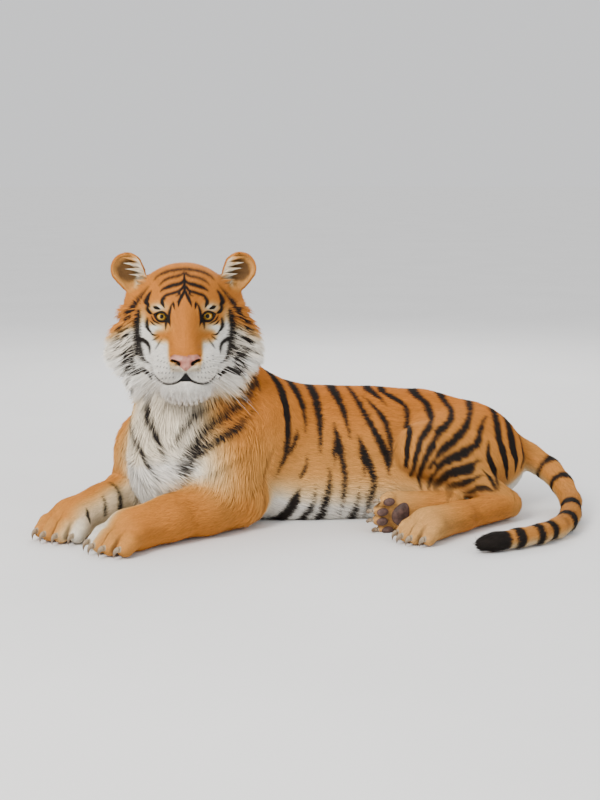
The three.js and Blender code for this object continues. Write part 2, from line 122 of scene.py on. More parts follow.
def local(f, p):
    """Where points lie in a frame: to its left, up and ahead."""
    q = p - f.origin
    return q @ f.left, q @ f.top, q @ f.ahead


def limb(start, end, from_radius, to_radius, flat=1.0, side=UP, blend=40.0, lie=None):
    """A tapered rod with round ends, its width along a side pressed to 1 / flat."""
    stretch = flat - 1
    first = start + side * (start @ side) * stretch
    axis = end + side * (end @ side) * stretch - first
    length_sq = max(axis @ axis, 1e-9)

    def distance(p):
        q = p - first
        if stretch:
            q += np.outer(p @ side * stretch, side)
        t = np.clip(q @ axis / length_sq, 0, 1)
        q -= np.outer(t, axis)
        radius = from_radius + (to_radius - from_radius) * t
        return (np.sqrt(np.einsum("ij,ij->i", q, q)) - radius) * min(1.0, 1 / flat)

    reach = max(from_radius, to_radius) * max(1.0, 1 / flat)
    low, high = np.minimum(start, end) - reach, np.maximum(start, end) + reach
    return Form(distance, blend, unit(end - start) if lie is None else lie, low, high)


def ball(centre, radii, frame, blend=40.0, lie=UP):
    """An oval with its radii along a frame."""
    a, b, c = radii

    def distance(p):
        x, y, z = local(frame._replace(origin=centre), p)
        k0 = np.sqrt((x / a) ** 2 + (y / b) ** 2 + (z / c) ** 2)
        k1 = np.sqrt((x / (a * a)) ** 2 + (y / (b * b)) ** 2 + (z / (c * c)) ** 2)
        return np.where(k1 < 1e-9, -min(radii), k0 * (k0 - 1) / np.maximum(k1, 1e-9))

    return Form(distance, blend, lie, centre - max(radii), centre + max(radii))


def smooth_min(a, b, reach):
    """The lower of two fields, rounded where they are closer than a reach."""
    h = np.maximum(reach - np.abs(a - b), 0) / reach
    return np.minimum(a, b) - h * h * reach / 4


FAR = 1e3
MARGIN = 110.0


def joined(forms):
    """The field of forms joined one after the other, worked out only near them."""
    low = np.min([f.low for f in forms], axis=0) - MARGIN
    high = np.max([f.high for f in forms], axis=0) + MARGIN

    def distance(p):
        found = np.full(len(p), FAR)
        near = ((p > low) & (p < high)).all(1)
        q = p[near]
        if len(q):
            d = np.full(len(q), FAR)
            for form in forms:
                d = smooth_min(d, form.distance(q), form.blend)
            found[near] = d
        return found

    return distance


# The trunk's stations: the middle, half the width and half the height of each.
SPINE = {
    "rump": (point(-15, 440, 134), 110, 120),
    "hips": (point(-20, 350, 165), 150, 150),
    "loin": (point(-20, 215, 180), 160, 174),
    "belly": (point(-14, 60, 182), 172, 184),
    "ribs": (point(-8, -90, 185), 180, 186),
    "girth": (point(16, -225, 188), 178, 192),
    "shoulders": (point(80, -360, 196), 170, 206),
    "chest": (point(165, -470, 192), 145, 186),
    "breast": (point(222, -540, 190), 105, 145),
}


def trunk_forms():
    stations = list(SPINE.values())
    forms = []
    for (start, wide, high), (end, next_wide, next_high) in zip(stations, stations[1:]):
        across = unit(np.cross(end - start, UP))
        flat = (high + next_high) / (wide + next_wide)
        lie = unit(start - end) - 0.25 * UP
        forms.append(limb(start, end, high, next_high, flat, across, 50, lie))
    down_neck = unit(point(36, -300, 258) - point(172, -495, 530))
    forms += [
        limb(point(36, -300, 258), point(120, -440, 420), 146, 138, blend=90, lie=down_neck),
        limb(point(120, -440, 420), point(172, -495, 530), 138, 118, blend=60, lie=down_neck),
        limb(point(190, -532, 300), point(194, -512, 420), 128, 118, blend=60, lie=-UP),
        limb(point(106, -190, 80), point(108, 110, 78), 104, 96, blend=60),
        limb(point(-100, -190, 78), point(-110, 110, 76), 92, 92, blend=60),
    ]
    return forms


# The radii of the foreleg, the feet's sizes, and where the joints of each leg are.
FOREARM = {"elbow": 84, "middle": 82, "wrist": 64, "length": 335}
PAW = {"width": 78, "height": 51, "toe": 26, "spread": 40, "toes": 118, "turn": 6}
HIND_FOOT = {"hock": 46, "width": 64, "height": 44, "toe": 22, "spread": 33, "toes": 96}
LYING_FOOT = HIND_FOOT | {"width": 56, "spread": 28, "toe": 21}
FORELEGS = {
    "left": {"elbow": point(188, -282, 0), "toes": point(534, -745, 0),
             "shoulder": point(236, -392, 205), "blade": point(110, -268, 290)},
    "right": {"elbow": point(-36, -520, 0), "toes": point(392, -884, 0),
              "shoulder": point(92, -604, 214), "blade": point(-30, -420, 285)},
}
TOES = (-1.5, -0.5, 0.5, 1.5)


def toe_end(place):
    return -9 * place * place


def toe_forms(f, foot):
    forms = []
    for place in TOES:
        side, toe = place * foot["spread"], foot["toe"]
        start = at(f, side * 0.82, foot["height"] * 1.1, -foot["toes"])
        middle = at(f, side, toe * 1.6, toe_end(place) - toe * 1.95)
        tip = at(f, side * 1.04, toe * 0.95, toe_end(place) - toe)
        forms.append(limb(start, middle, toe, toe * 1.06, blend=12))
        forms.append(limb(middle, tip, toe * 1.06, toe * 0.95, blend=6))
    return forms


def foreleg_frame(leg):
    return frame_at(leg["elbow"], leg["toes"] - leg["elbow"])


def paw_frame(leg):
    x, y, _ = leg["toes"] - leg["elbow"]
    turn = math.radians(PAW["turn"])
    ahead = point(x * math.cos(turn) - y * math.sin(turn), x * math.sin(turn) + y * math.cos(turn), 0)
    return frame_at(leg["toes"], ahead)


def foreleg_forms(leg):
    f, paw = foreleg_frame(leg), paw_frame(leg)
    elbow, forearm = at(f, 0, FOREARM["elbow"], 78), at(f, 0, FOREARM["middle"], 215)
    wrist = at(f, 0, FOREARM["wrist"] + 5, FOREARM["length"])
    knuckles = at(paw, 0, PAW["height"], -PAW["toes"])
    shoulder = [
        limb(leg["blade"], leg["shoulder"], 92, 88, blend=80),
        limb(leg["shoulder"], elbow, 88, FOREARM["elbow"], blend=60),
        limb(leg["shoulder"], at(f, 0, 100, 190), 86, 76, blend=60),
    ]
    forearm_forms = [
        limb(elbow, forearm, FOREARM["elbow"], FOREARM["middle"], blend=30),
        limb(forearm, wrist, FOREARM["middle"], FOREARM["wrist"], blend=30),
        limb(wrist, knuckles, FOREARM["wrist"] * 0.74, PAW["width"] * 0.74, 0.74, paw.left, 30),
        limb(wrist, knuckles, FOREARM["wrist"], 58, blend=30),
    ]
    return shoulder, forearm_forms + toe_forms(paw, PAW)


HIND_LEFT = {"hip": point(40, 378, 176), "haunch": point(100, 318, 172), "knee": point(216, 192, 222),
             "hock": point(218, 448, 50), "toes": point(484, 98, 0)}
HIND_RIGHT = {"hip": point(-80, 380, 140), "thigh": point(-60, 240, 100), "knee": point(112, 142, 98),
              "heel": point(250, 270, 58), "toes": point(312, 18, 54)}


def hind_left_frame():
    ahead = HIND_LEFT["toes"] - HIND_LEFT["hock"]
    return frame_at(HIND_LEFT["toes"], ahead * (1, 1, 0))


def hind_right_frame():
    f = frame_at(HIND_RIGHT["toes"], HIND_RIGHT["toes"] - HIND_RIGHT["heel"], unit(point(-1, -0.12, 0.15)))
    return f._replace(origin=at(f, 0, -LYING_FOOT["height"], 0))


def hind_left_forms():
    leg, f = HIND_LEFT, hind_left_frame()
    instep = at(f, 0, 46, -230)
    knuckles = at(f, 0, HIND_FOOT["height"], -HIND_FOOT["toes"])
    turned = frame_at(leg["haunch"], point(0.25, -1, -0.1))
    thigh = [
        ball(leg["haunch"], (130, 136, 190), turned, 60, point(0.1, 0.5, -0.85)),
        limb(leg["hip"], leg["knee"], 128, 76, blend=60, lie=point(0.1, 0.3, -0.9)),
        limb(leg["knee"], leg["hock"], 72, HIND_FOOT["hock"], blend=30),
    ]
    foot = [
        limb(leg["hock"], instep, HIND_FOOT["hock"], 46, blend=20),
        limb(instep, knuckles, 46, 48, blend=20),
        limb(instep, knuckles, 36, HIND_FOOT["width"] * 0.74, 0.74, f.left, 20),
    ]
    return thigh, foot + toe_forms(f, HIND_FOOT)


def hind_right_forms():
    leg, f = HIND_RIGHT, hind_right_frame()
    knuckles = at(f, 0, LYING_FOOT["height"], -LYING_FOOT["toes"])
    upper = [
        limb(leg["hip"], leg["thigh"], 132, 100, blend=60, lie=point(-0.2, 0.5, -0.8)),
        limb(leg["thigh"], leg["knee"], 98, 84, blend=60),
        limb(leg["knee"], leg["heel"], 84, 48, blend=30),
    ]
    foot = [
        limb(leg["heel"], knuckles, 44, 44, blend=20),
        limb(leg["heel"], knuckles, 34, LYING_FOOT["width"] * 0.74, 0.74, f.left, 20),
    ]
    return upper, foot + toe_forms(f, LYING_FOOT)


# Points along the tail from its root, with its radius.
TAIL = [
    (point(-15, 470, 196), 56), (point(0, 562, 148), 46), (point(40, 618, 114), 41),
    (point(105, 643, 80), 38), (point(195, 646, 49), 36), (point(298, 618, 35), 35),
    (point(380, 584, 34), 34), (point(448, 540, 33), 33), (point(506, 475, 32), 32),
    (point(545, 402, 31), 31), (point(572, 334, 30), 29), (point(579, 300, 27), 26),
]


def tail_forms():
    return [limb(a, b, ra, rb, blend=14) for (a, ra), (b, rb) in zip(TAIL, TAIL[1:])]


HEAD_CENTRE = point(217, -500, 577)
HEAD_PITCH = math.radians(6.4)
HEAD = frame_at(HEAD_CENTRE, point(math.cos(HEAD_PITCH), 0, math.sin(HEAD_PITCH)))
EYE = {"side": 64, "up": 38, "ahead": 90, "radius": 21.5}
EAR = {"side": 160, "up": 174, "radius": 50}


def head_forms():
    def on(centre, radii, blend):
        return ball(at(HEAD, *centre), radii, HEAD, blend)

    def bar(start, end, a, b, blend):
        return limb(at(HEAD, *start), at(HEAD, *end), a, b, blend=blend)

    skull = [on((0, 72, 5), (140, 123, 118), 40), on((0, -20, 36), (108, 112, 90), 50)]
    bridge = [bar((0, 74, 84), (0, -66, 178), 56, 36, 50)]
    brows = [on((s * 56, 66, 78), (46, 30, 40), 30) for s in SIDES]
    cheeks = [on((s * 98, -14, 30), (70, 84, 60), 50) for s in SIDES]
    pads = [bar((s * 44, -100, 152), (s * 54, -88, 112), 44, 46, 20) for s in SIDES]
    nose = [bar((0, -74, 172), (0, -84, 196), 36, 26, 16)]
    chin = [on((0, -152, 138), (54, 36, 44), 20), on((0, -172, 118), (62, 34, 44), 20)]
    throat = [on((0, -106, 60), (112, 86, 84), 50)]
    ruff = [bar((s * 124, 66, -12), (s * 156, -58, -12), 52, 66, 40) for s in SIDES]
    ruff += [bar((s * 156, -58, -12), (s * 112, -138, 8), 66, 56, 30) for s in SIDES]
    ruff += [bar((s * 112, -138, 8), (s * 50, -150, 40), 56, 50, 30) for s in SIDES]
    return skull + bridge + brows + cheeks + pads + nose + chin + throat + ruff


def ear_forms():
    return [
        limb(at(HEAD, s * 126, 118, -4), at(HEAD, s * EAR["side"], EAR["up"], 0), 40, EAR["radius"],
             2.2, HEAD.ahead, 16)
        for s in SIDES
    ]


FORE = {side: foreleg_forms(leg) for side, leg in FORELEGS.items()}
HIND = {"left": hind_left_forms(), "right": hind_right_forms()}
CORE_FORMS = trunk_forms() + FORE["left"][0] + FORE["right"][0] + HIND["left"][0] + HIND["right"][0]
GROUPS = {
    "core": (CORE_FORMS, 40),
    "foreleg_left": (FORE["left"][1], 12),
    "foreleg_right": (FORE["right"][1], 12),
    "hind_left": (HIND["left"][1], 10),
    "hind_right": (HIND["right"][1], 8),
    "tail": (tail_forms(), 14),
    "head": (head_forms(), 30),
    "ears": (ear_forms(), 14),
}
GROUP_FIELDS = {name: joined(forms) for name, (forms, _) in GROUPS.items()}
GROUP_NAMES = tuple(GROUPS)
# Large primes that scatter the numbers of a noise's cells.
PRIMES = (73856093, 19349663, 83492791, 40503, 1274126177)


def value_noise(p, size, seed):
    """Smooth noise from -1 to 1 at points, in cells of a size in mm."""
    q = p / size
    cell = np.floor(q).astype(np.int64)
    t = q - cell
    t = t * t * (3 - 2 * t)
    total = np.zeros(len(p))
    for corner in np.ndindex(2, 2, 2):
        x, y, z = ((cell + corner) * PRIMES[:3]).T
        mixed = x ^ y ^ z ^ (seed * PRIMES[3])
        mixed = ((mixed ^ (mixed >> 13)) & 0xFFFFFFF) * PRIMES[4]
        value = ((mixed >> 7) & 0xFFFFFF) / 0x7FFFFF - 1
        total += np.prod(np.where(corner, t, 1 - t), axis=1) * value
    return total


def measured(p):
    """The body's field at points, and how much of each group each point is, in columns that sum to 1."""
    columns = [GROUP_FIELDS[name](p) for name in GROUP_NAMES]
    d = columns[0]
    for name, column in zip(GROUP_NAMES[1:], columns[1:]):
        d = smooth_min(d, column, GROUPS[name][1])
    table = np.stack(columns, axis=1)
    weights = np.exp(-(table - table.min(1, keepdims=True)) / 9)
    return d, weights / weights.sum(1, keepdims=True)


# ---------------------------------------------------------------------------- the head's fine shape
OPENING = {"side": 65, "up": 36.5, "half": 19.5, "slant": 22.6, "above": 11.5, "below": 9.5}
LID = 4.0
EAR_CUP = {"ahead": 9.0, "wall": 4.9, "floor": -6.0}
MOUTH_LINE = ((0, -121), (16, -139), (45, -148), (68, -141), (85, -122), (92, -98))
MOUTH_GAP = {"top": -121.0, "slope": 0.95, "foot": -141.0}


def eye_opening(a, w):
    """Distance in mm from the opening between the lids, less than 0 inside, seen from ahead."""
    slant = math.radians(OPENING["slant"])
    x = (a - OPENING["side"]) * math.cos(slant) + (w - OPENING["up"]) * math.sin(slant)
    y = (w - OPENING["up"]) * math.cos(slant) - (a - OPENING["side"]) * math.sin(slant)
    arc = 1 - np.clip(np.abs(x) / OPENING["half"], 0, 2) ** 2
    return np.maximum(y - OPENING["above"] * arc, -OPENING["below"] * arc - y) * 0.8


def smooth_max(a, b, reach):
    """The higher of two fields, rounded the same way."""
    return -smooth_min(-a, -b, reach)


def curve_distance(points, x, y, values=None):
    """Distance from a line through the points, and the share of its length at the nearest place.

    With values, one for each point, the second result is the value there instead.
    """
    corners = np.array(points, float)
    steps = np.diff(corners, axis=0)
    lengths = np.hypot(*steps.T)
    before = np.concatenate([[0], np.cumsum(lengths)])
    values = before / before[-1] if values is None else values
    best = np.full(len(x), 1e9)
    found = np.zeros(len(x))
    for i, ((x0, y0), (dx, dy), length) in enumerate(zip(corners, steps, lengths)):
        t = np.clip(((x - x0) * dx + (y - y0) * dy) / (length * length), 0, 1)
        d = np.hypot(x - x0 - t * dx, y - y0 - t * dy)
        closer = d < best
        best = np.where(closer, d, best)
        found = np.where(closer, values[i] + t * (values[i + 1] - values[i]), found)
    return best, found


def rounded(points, steps=4):
    """The points with a smooth curve's points between them."""
    p = np.array(points, float)
    p = np.vstack([2 * p[0] - p[1], p, 2 * p[-1] - p[-2]])
    found = []
    for a, b, c, d in zip(p, p[1:], p[2:], p[3:]):
        for t in np.arange(steps) / steps:
            bend = (2 * a - 5 * b + 4 * c - d) * t * t + (3 * b - a - 3 * c + d) * t**3
            found.append(b + 0.5 * ((c - a) * t + bend))
    return np.array([*found, p[-2]])


def mouth_gap(a, w):
    """Distance below the upper lips and over the lower one, more than 0 outside the gap between them."""
    return np.maximum(w - MOUTH_GAP["top"] + a * MOUTH_GAP["slope"], MOUTH_GAP["foot"] - w)


def groove(points, a, w, depth, width):
    """How deep a groove along some points is at each place of the face."""
    d, _ = curve_distance(rounded(points), a, w)
    return depth * np.exp(-((d / width) ** 2))


NOSE_BALLS = (((0, -81, 193), (43, 17, 25)), ((25, -88, 199), (19, 16, 18)), ((0, -99, 199), (15, 15, 20)))
NOSTRILS = (((22, -91, 216), (8.5, 7.5, 22)), ((33, -84, 210), (9.5, 4.2, 18)))
NOSTRIL_LINE = ((37, -82), (29, -85), (21, -90), (18, -94))
NOSE_TOP = ((0, -69.5), (14, -66), (28, -64.5), (37, -68), (44, -77))
NOSE_FOOT = ((0, -114), (13, -102), (44, -77))


def face_shape(p, d):
    """The skin's field d near the face, with lids, nose leather, nostrils, lips and folds added."""
    u, w, n = local(HEAD, p)
    a = np.abs(u)

    def oval(centre, radii):
        x, y, z = (a - centre[0]) / radii[0], (w - centre[1]) / radii[1], (n - centre[2]) / radii[2]
        return (np.sqrt(x * x + y * y + z * z) - 1) * min(radii)

    eye = np.sqrt((a - EYE["side"]) ** 2 + (w - EYE["up"]) ** 2 + (n - EYE["ahead"]) ** 2)
    d = smooth_min(d, eye - EYE["radius"] - LID, 9)
    opening = eye_opening(a, w)
    hollow = np.maximum(np.maximum(opening, EYE["radius"] - 1.2 - eye), EYE["ahead"] - n)
    d = smooth_max(d, -hollow, 1.6)
    front = smooth(n, 60, 90)
    d = d + front * 1.3 * np.exp(-(((opening - 6) / 2.2) ** 2)) * (opening > 0)
    for centre, radii in NOSE_BALLS:
        d = smooth_min(d, oval(centre, radii), 7)
    for centre, radii in NOSTRILS:
        d = smooth_max(d, -oval(centre, radii), 2.5)
    d = d + groove(((0, -104), (0, -121)), a, w, 3.0, 2.2) * smooth(n, 150, 180)
    d = d + groove(MOUTH_LINE, a, w, 5.0, 3.0) * smooth(n, 60, 100)
    gap = np.maximum(np.maximum(w + 122 + a * 0.95, -139.5 - w), 150 - n)
    d = smooth_max(d, -gap, 2)
    d = d + groove(((38, -15), (46, -50), (42, -72)), a, w, 2.4, 7) * front
    d = d + groove(((92, 27), (80, 14), (60, 8)), a, w, 1.6, 5) * front
    d = d + groove(((52, 92), (34, 78), (30, 50)), a, w, 1.4, 7) * front
    return d + 0.5 * value_noise(p, 16, 5) * smooth(opening, 4, 20)


def cup_distance(p):
    """Distance from the hollow of each ear, less than 0 in it: the ear's own form moved ahead of the head."""
    cup = GROUP_FIELDS["ears"](p - HEAD.ahead * EAR_CUP["ahead"]) + EAR_CUP["wall"]
    return smooth_max(cup, EAR_CUP["floor"] - GROUP_FIELDS["head"](p), 8)


# ------------------------------------------------------------------------------- places on the body
# The trunk's places: where the rump and the chest's front are along it, and what the chest is turned round.
STATIONS = np.array([centre for centre, _, _ in SPINE.values()])
RUMP_PLACE = 440.0
CHEST_PLACE = -330
CHEST_AXIS = point(120, -450, 0)
CHEST_FRONT = -32.0
FEET = {
    "foreleg_left": (paw_frame(FORELEGS["left"]), PAW),
    "foreleg_right": (paw_frame(FORELEGS["right"]), PAW),
    "hind_left": (hind_left_frame(), HIND_FOOT),
    "hind_right": (hind_right_frame(), LYING_FOOT),
}
LEG_FRAMES = {
    "foreleg_left": foreleg_frame(FORELEGS["left"]),
    "foreleg_right": foreleg_frame(FORELEGS["right"]),
    "hind_left": FEET["hind_left"][0],
    "hind_right": FEET["hind_right"][0],
}
LEG_HEIGHT = {"foreleg_left": 75, "foreleg_right": 75, "hind_left": 45, "hind_right": 44}


def spine_place(p):
    """Where points lie along the trunk, in mm like y, and the angle round it from the back, + to the left."""
    steps = np.diff(STATIONS, axis=0) * (1, 1, 0)
    lengths = np.linalg.norm(steps, axis=1)
    before = np.concatenate([[0], np.cumsum(lengths)])
    best = np.full(len(p), 1e9)
    along, angle = np.zeros(len(p)), np.zeros(len(p))
    last = len(steps) - 1
    for i, (start, step, length) in enumerate(zip(STATIONS, steps, lengths)):
        t = np.clip((p - start) @ step / length**2, 0 if i else -3, 1 if i < last else 3)
        axis = start + np.outer(t, step)
        gap = np.hypot(p[:, 0] - axis[:, 0], p[:, 1] - axis[:, 1])
        height = start[2] + (STATIONS[i + 1, 2] - start[2]) * np.clip(t, 0, 1)
        left = -np.cross(UP, -step / length)
        turn = np.degrees(np.arctan2((p - axis) @ left, p[:, 2] - height))
        closer = gap < best
        best = np.where(closer, gap, best)
        along = np.where(closer, RUMP_PLACE - before[i] - t * length, along)
        angle = np.where(closer, turn, angle)
    return along, angle


def tail_place(p):
    """Where points lie along the tail from its root, in mm, and the angle round it."""
    best = np.full(len(p), 1e9)
    along, angle = np.zeros(len(p)), np.zeros(len(p))
    before = 0.0
    for (start, _), (end, _) in zip(TAIL, TAIL[1:]):
        step = end - start
        length = np.linalg.norm(step)
        t = np.clip((p - start) @ step / length**2, 0, 1)
        off = p - start - np.outer(t, step)
        gap = np.linalg.norm(off, axis=1)
        f = frame_at(start, step)
        closer = gap < best
        best = np.where(closer, gap, best)
        along = np.where(closer, before + t * length, along)
        angle = np.where(closer, np.degrees(np.arctan2(off @ f.left, off @ f.top)), angle)
        before += length
    return along, angle


TAIL_LENGTH = sum(np.linalg.norm(b - a) for (a, _), (b, _) in zip(TAIL, TAIL[1:]))
Places = namedtuple("Places", "p weights group trunk chest tail legs head")


def places(p, weights=None):
    """Where points lie on each part of the body, in that part's own coordinates."""
    weights = measured(p)[1] if weights is None else weights
    turn = np.degrees(np.arctan2(p[:, 1] - CHEST_AXIS[1], p[:, 0] - CHEST_AXIS[0])) - CHEST_FRONT
    legs = {}
    for name, f in LEG_FRAMES.items():
        side, high, far = local(f, p)
        angle = np.degrees(np.arctan2(side, high - LEG_HEIGHT[name]))
        legs[name] = (side, high, far, angle)
    chest = ((turn + 180) % 360 - 180, p[:, 2])
    return Places(p, weights, weights.argmax(1), spine_place(p), chest, tail_place(p), legs, local(HEAD, p))


def share(where, name):
    return where.weights[:, GROUP_NAMES.index(name)]


def in_group(where, name):
    return where.group == GROUP_NAMES.index(name)


def by_share(where, found):
    """A value for each place from the groups' values, mixed by how much of each group the place is."""
    return sum(share(where, name) * value for name, value in found.items())


def on_head(where):
    """Where places lie on the head, alike on both sides: mm out from its middle, up and ahead."""
    u, w, n = where.head
    return np.abs(u), w, n


# ----------------------------------------------------------------------------------------- markings
def wedge(*points):
    """A stripe along a curve of (place, place, half its width in mm) rows."""
    return np.array(points, float)


def brush(points, width, start, end):
    """A stripe of one half width, that tapers over shares of its length at its start and its end."""
    line = rounded(points, 3)
    steps = np.hypot(*np.diff(line, axis=0).T)
    along = np.concatenate([[0], np.cumsum(steps)]) / steps.sum()
    taper = np.minimum(np.clip(along / start, 0, 1), np.clip((1 - along) / end, 0, 1)) ** 0.6
    return np.column_stack([line, width * taper])


# Places along the trunk, degrees round it from the back, and half widths.
HANGING_STRIPES = (
    wedge((-274, -6, 17), (-273, 24, 17), (-283, 45, 13), (-288, 66, 12), (-304, 89, 8), (-331, 107, 1)),
    wedge((-203, 51, 1), (-230, 57, 5), (-262, 72, 7), (-284, 84, 5)),
    wedge((-190, -6, 16), (-190, 19, 16), (-180, 37, 12), (-177, 52, 6), (-180, 66, 1)),
    wedge((-126, -6, 16), (-126, 15, 16), (-129, 47, 12), (-134, 69, 7), (-137, 86, 1)),
    wedge((-55, -6, 17), (-55, 12, 17), (-39, 37, 12), (-27, 57, 6), (-20, 73, 1)),
    wedge((-4, -6, 5), (-2, 10, 7), (16, 33, 9), (38, 53, 10), (62, 69, 12), (85, 86, 12), (90, 101, 3)),
    wedge((34, 24, 1), (56, 36, 6), (82, 50, 10), (98, 66, 9), (100, 80, 5), (97, 94, 1)),
    wedge((57, -6, 15), (57, 12, 15), (80, 25, 8), (101, 36, 1)),
)
RISING_STRIPES = (
    wedge((-306, 176, 16), (-300, 156, 20), (-291, 144, 18), (-264, 121, 14), (-216, 108, 9), (-184, 97, 5),
          (-175, 84, 1)),
    wedge((-204, 176, 12), (-196, 150, 16), (-184, 136, 13), (-166, 124, 8), (-155, 110, 1)),
    wedge((-146, 176, 12), (-142, 150, 17), (-139, 136, 16), (-125, 119, 12), (-113, 106, 6), (-115, 95, 1)),
    wedge((-68, 54, 1), (-61, 67, 9), (-56, 79, 13), (-42, 97, 9), (-44, 113, 8), (-55, 134, 1)),
    wedge((-66, 72, 6), (-70, 84, 5), (-69, 97, 1)),
    wedge((1, 66, 1), (14, 78, 9), (24, 88, 14), (44, 104, 10), (37, 117, 8), (18, 134, 1)),
    wedge((10, 84, 6), (16, 94, 5), (19, 104, 1)),
    wedge((-24, 176, 12), (-20, 150, 18), (-17, 137, 16), (-6, 123, 8), (0, 110, 1)),
    wedge((24, 113, 1), (26, 124, 5), (19, 134, 3)),
)
HAUNCH_STRIPES = (
    wedge((98, -6, 14), (100, 14, 13), (134, 26, 11), (159, 38, 9), (154, 56, 8), (129, 79, 7), (129, 92, 5)),
    wedge((198, -6, 17), (200, 15, 17), (228, 34, 14), (222, 59, 10), (157, 79, 8), (148, 100, 4)),
    wedge((281, -6, 15), (283, 11, 14), (294, 42, 10), (275, 60, 10), (192, 80, 10), (170, 92, 8),
          (176, 106, 4)),
    wedge((369, -6, 12), (370, 15, 12), (349, 51, 12), (295, 71, 11), (231, 82, 8), (190, 91, 5)),
    wedge((414, 39, 1), (386, 58, 8), (366, 73, 10), (311, 81, 11), (246, 87, 9), (209, 97, 9),
          (197, 106, 4)),
    wedge((381, 83, 1), (328, 90, 10), (264, 94, 11), (234, 102, 9), (215, 108, 4)),
    wedge((383, 92, 1), (305, 99, 8), (262, 104, 7), (250, 109, 3)),
    wedge((418, 99, 1), (382, 99, 6), (340, 103, 6), (311, 106, 2)),
    wedge((407, 67, 1), (403, 78, 8), (424, 89, 9), (428, 98, 2)),
    wedge((383, 89, 1), (409, 94, 6), (422, 99, 2)),
)
RIGHT_STRIPES = (
    wedge((-236, 98, 1), (-230, 112, 8), (-235, 130, 11), (-248, 150, 1)),
    wedge((-158, 90, 1), (-149, 104, 9), (-148, 122, 12), (-160, 148, 1)),
    wedge((-100, 100, 1), (-95, 112, 7), (-96, 126, 8), (-106, 142, 1)),
    wedge((-44, 92, 1), (-36, 106, 9), (-36, 124, 12), (-48, 148, 1)),
    wedge((24, 98, 1), (31, 110, 8), (33, 126, 10), (22, 144, 1)),
    wedge((72, 92, 1), (79, 104, 8), (80, 120, 9), (70, 138, 1)),
    wedge((112, 86, 1), (122, 98, 8), (128, 114, 11), (120, 130, 8), (106, 146, 1)),
    wedge((150, 96, 1), (158, 106, 6), (160, 118, 5), (154, 128, 1)),
    wedge((192, 82, 1), (203, 95, 9), (212, 112, 12), (204, 130, 8), (188, 148, 1)),
    wedge((262, 88, 1), (276, 102, 10), (284, 118, 11), (274, 136, 7), (262, 150, 1)),
    wedge((318, 82, 1), (330, 94, 8), (336, 110, 10), (330, 128, 7), (318, 144, 1)),
    wedge((388, 92, 1), (396, 104, 8), (398, 120, 8), (390, 138, 1)),
)
RUMP_STRIPES = (
    wedge((438, -6, 12), (440, 37, 12), (440, 60, 12), (458, 77, 10), (476, 104, 1)),
    wedge((482, -6, 12), (482, 45, 13), (488, 65, 14), (500, 80, 9), (501, 98, 1)),
    wedge((524, -6, 8), (528, 46, 6), (539, 70, 8), (526, 98, 3)),
)
SHOULDER_STRIPES = HANGING_STRIPES[:2]
WITHERS_STRIPE = wedge((-274, -6, 16), (-274, 22, 15), (-279, 40, 10), (-286, 58, 1))
BACK_STRIPES = (*HANGING_STRIPES[2:], *RUMP_STRIPES, WITHERS_STRIPE)
LEFT_STRIPES = RISING_STRIPES + HAUNCH_STRIPES

# Degrees round the neck and chest from their front, + to the animal's left, heights, and half widths.
CHEST_STRIPES = (
    wedge((-22, 455, 9), (-16, 406, 10), (-11, 336, 10), (0, 280, 7), (6, 207, 1)),
    wedge((-46, 345, 2), (-38, 320, 8), (-24, 284, 9), (-12, 246, 9), (-4, 205, 6), (2, 160, 1)),
    wedge((66, 440, 9), (61, 421, 12), (51, 390, 13), (31, 354, 13), (18, 312, 10), (9, 249, 1)),
    wedge((101, 458, 6), (95, 428, 12), (71, 365, 14), (36, 305, 14), (22, 251, 11), (11, 165, 1)),
    wedge((86, 347, 1), (65, 305, 10), (42, 271, 12), (27, 233, 12), (20, 188, 9), (16, 143, 4)),
    wedge((96, 480, 12), (96, 440, 12), (99, 414, 7), (99, 390, 1)),
    wedge((-104, 450, 2), (-92, 420, 9), (-72, 366, 9), (-52, 330, 2)),
    wedge((-112, 350, 1), (-86, 306, 8), (-66, 280, 2)),
    wedge((118, 525, 8), (142, 492, 8), (168, 480, 2)),
    wedge((-118, 525, 8), (-142, 492, 8), (-168, 480, 2)),
    wedge((128, 470, 1), (148, 454, 7), (170, 448, 3)),
    wedge((-130, 476, 1), (-150, 456, 7), (-172, 448, 3)),
)
# Folds where the forelegs meet the chest and the elbow meets the ribs, where painted shade darkens the coat.
CHEST_FOLD_SHADE = (
    wedge((4, 126, 5), (18, 142, 5), (30, 166, 5), (41, 186, 5), (52, 205, 5), (60, 220, 4), (68, 234, 1)),
    wedge((69, 124, 1), (66, 95, 4), (62, 74, 4), (57, 64, 1)),
    wedge((92, 240, 1), (87, 181, 4), (81, 122, 6), (81, 24, 6)),
    wedge((-45, 230, 3), (-22, 187, 5), (-9, 152, 5), (6, 130, 4)),
)

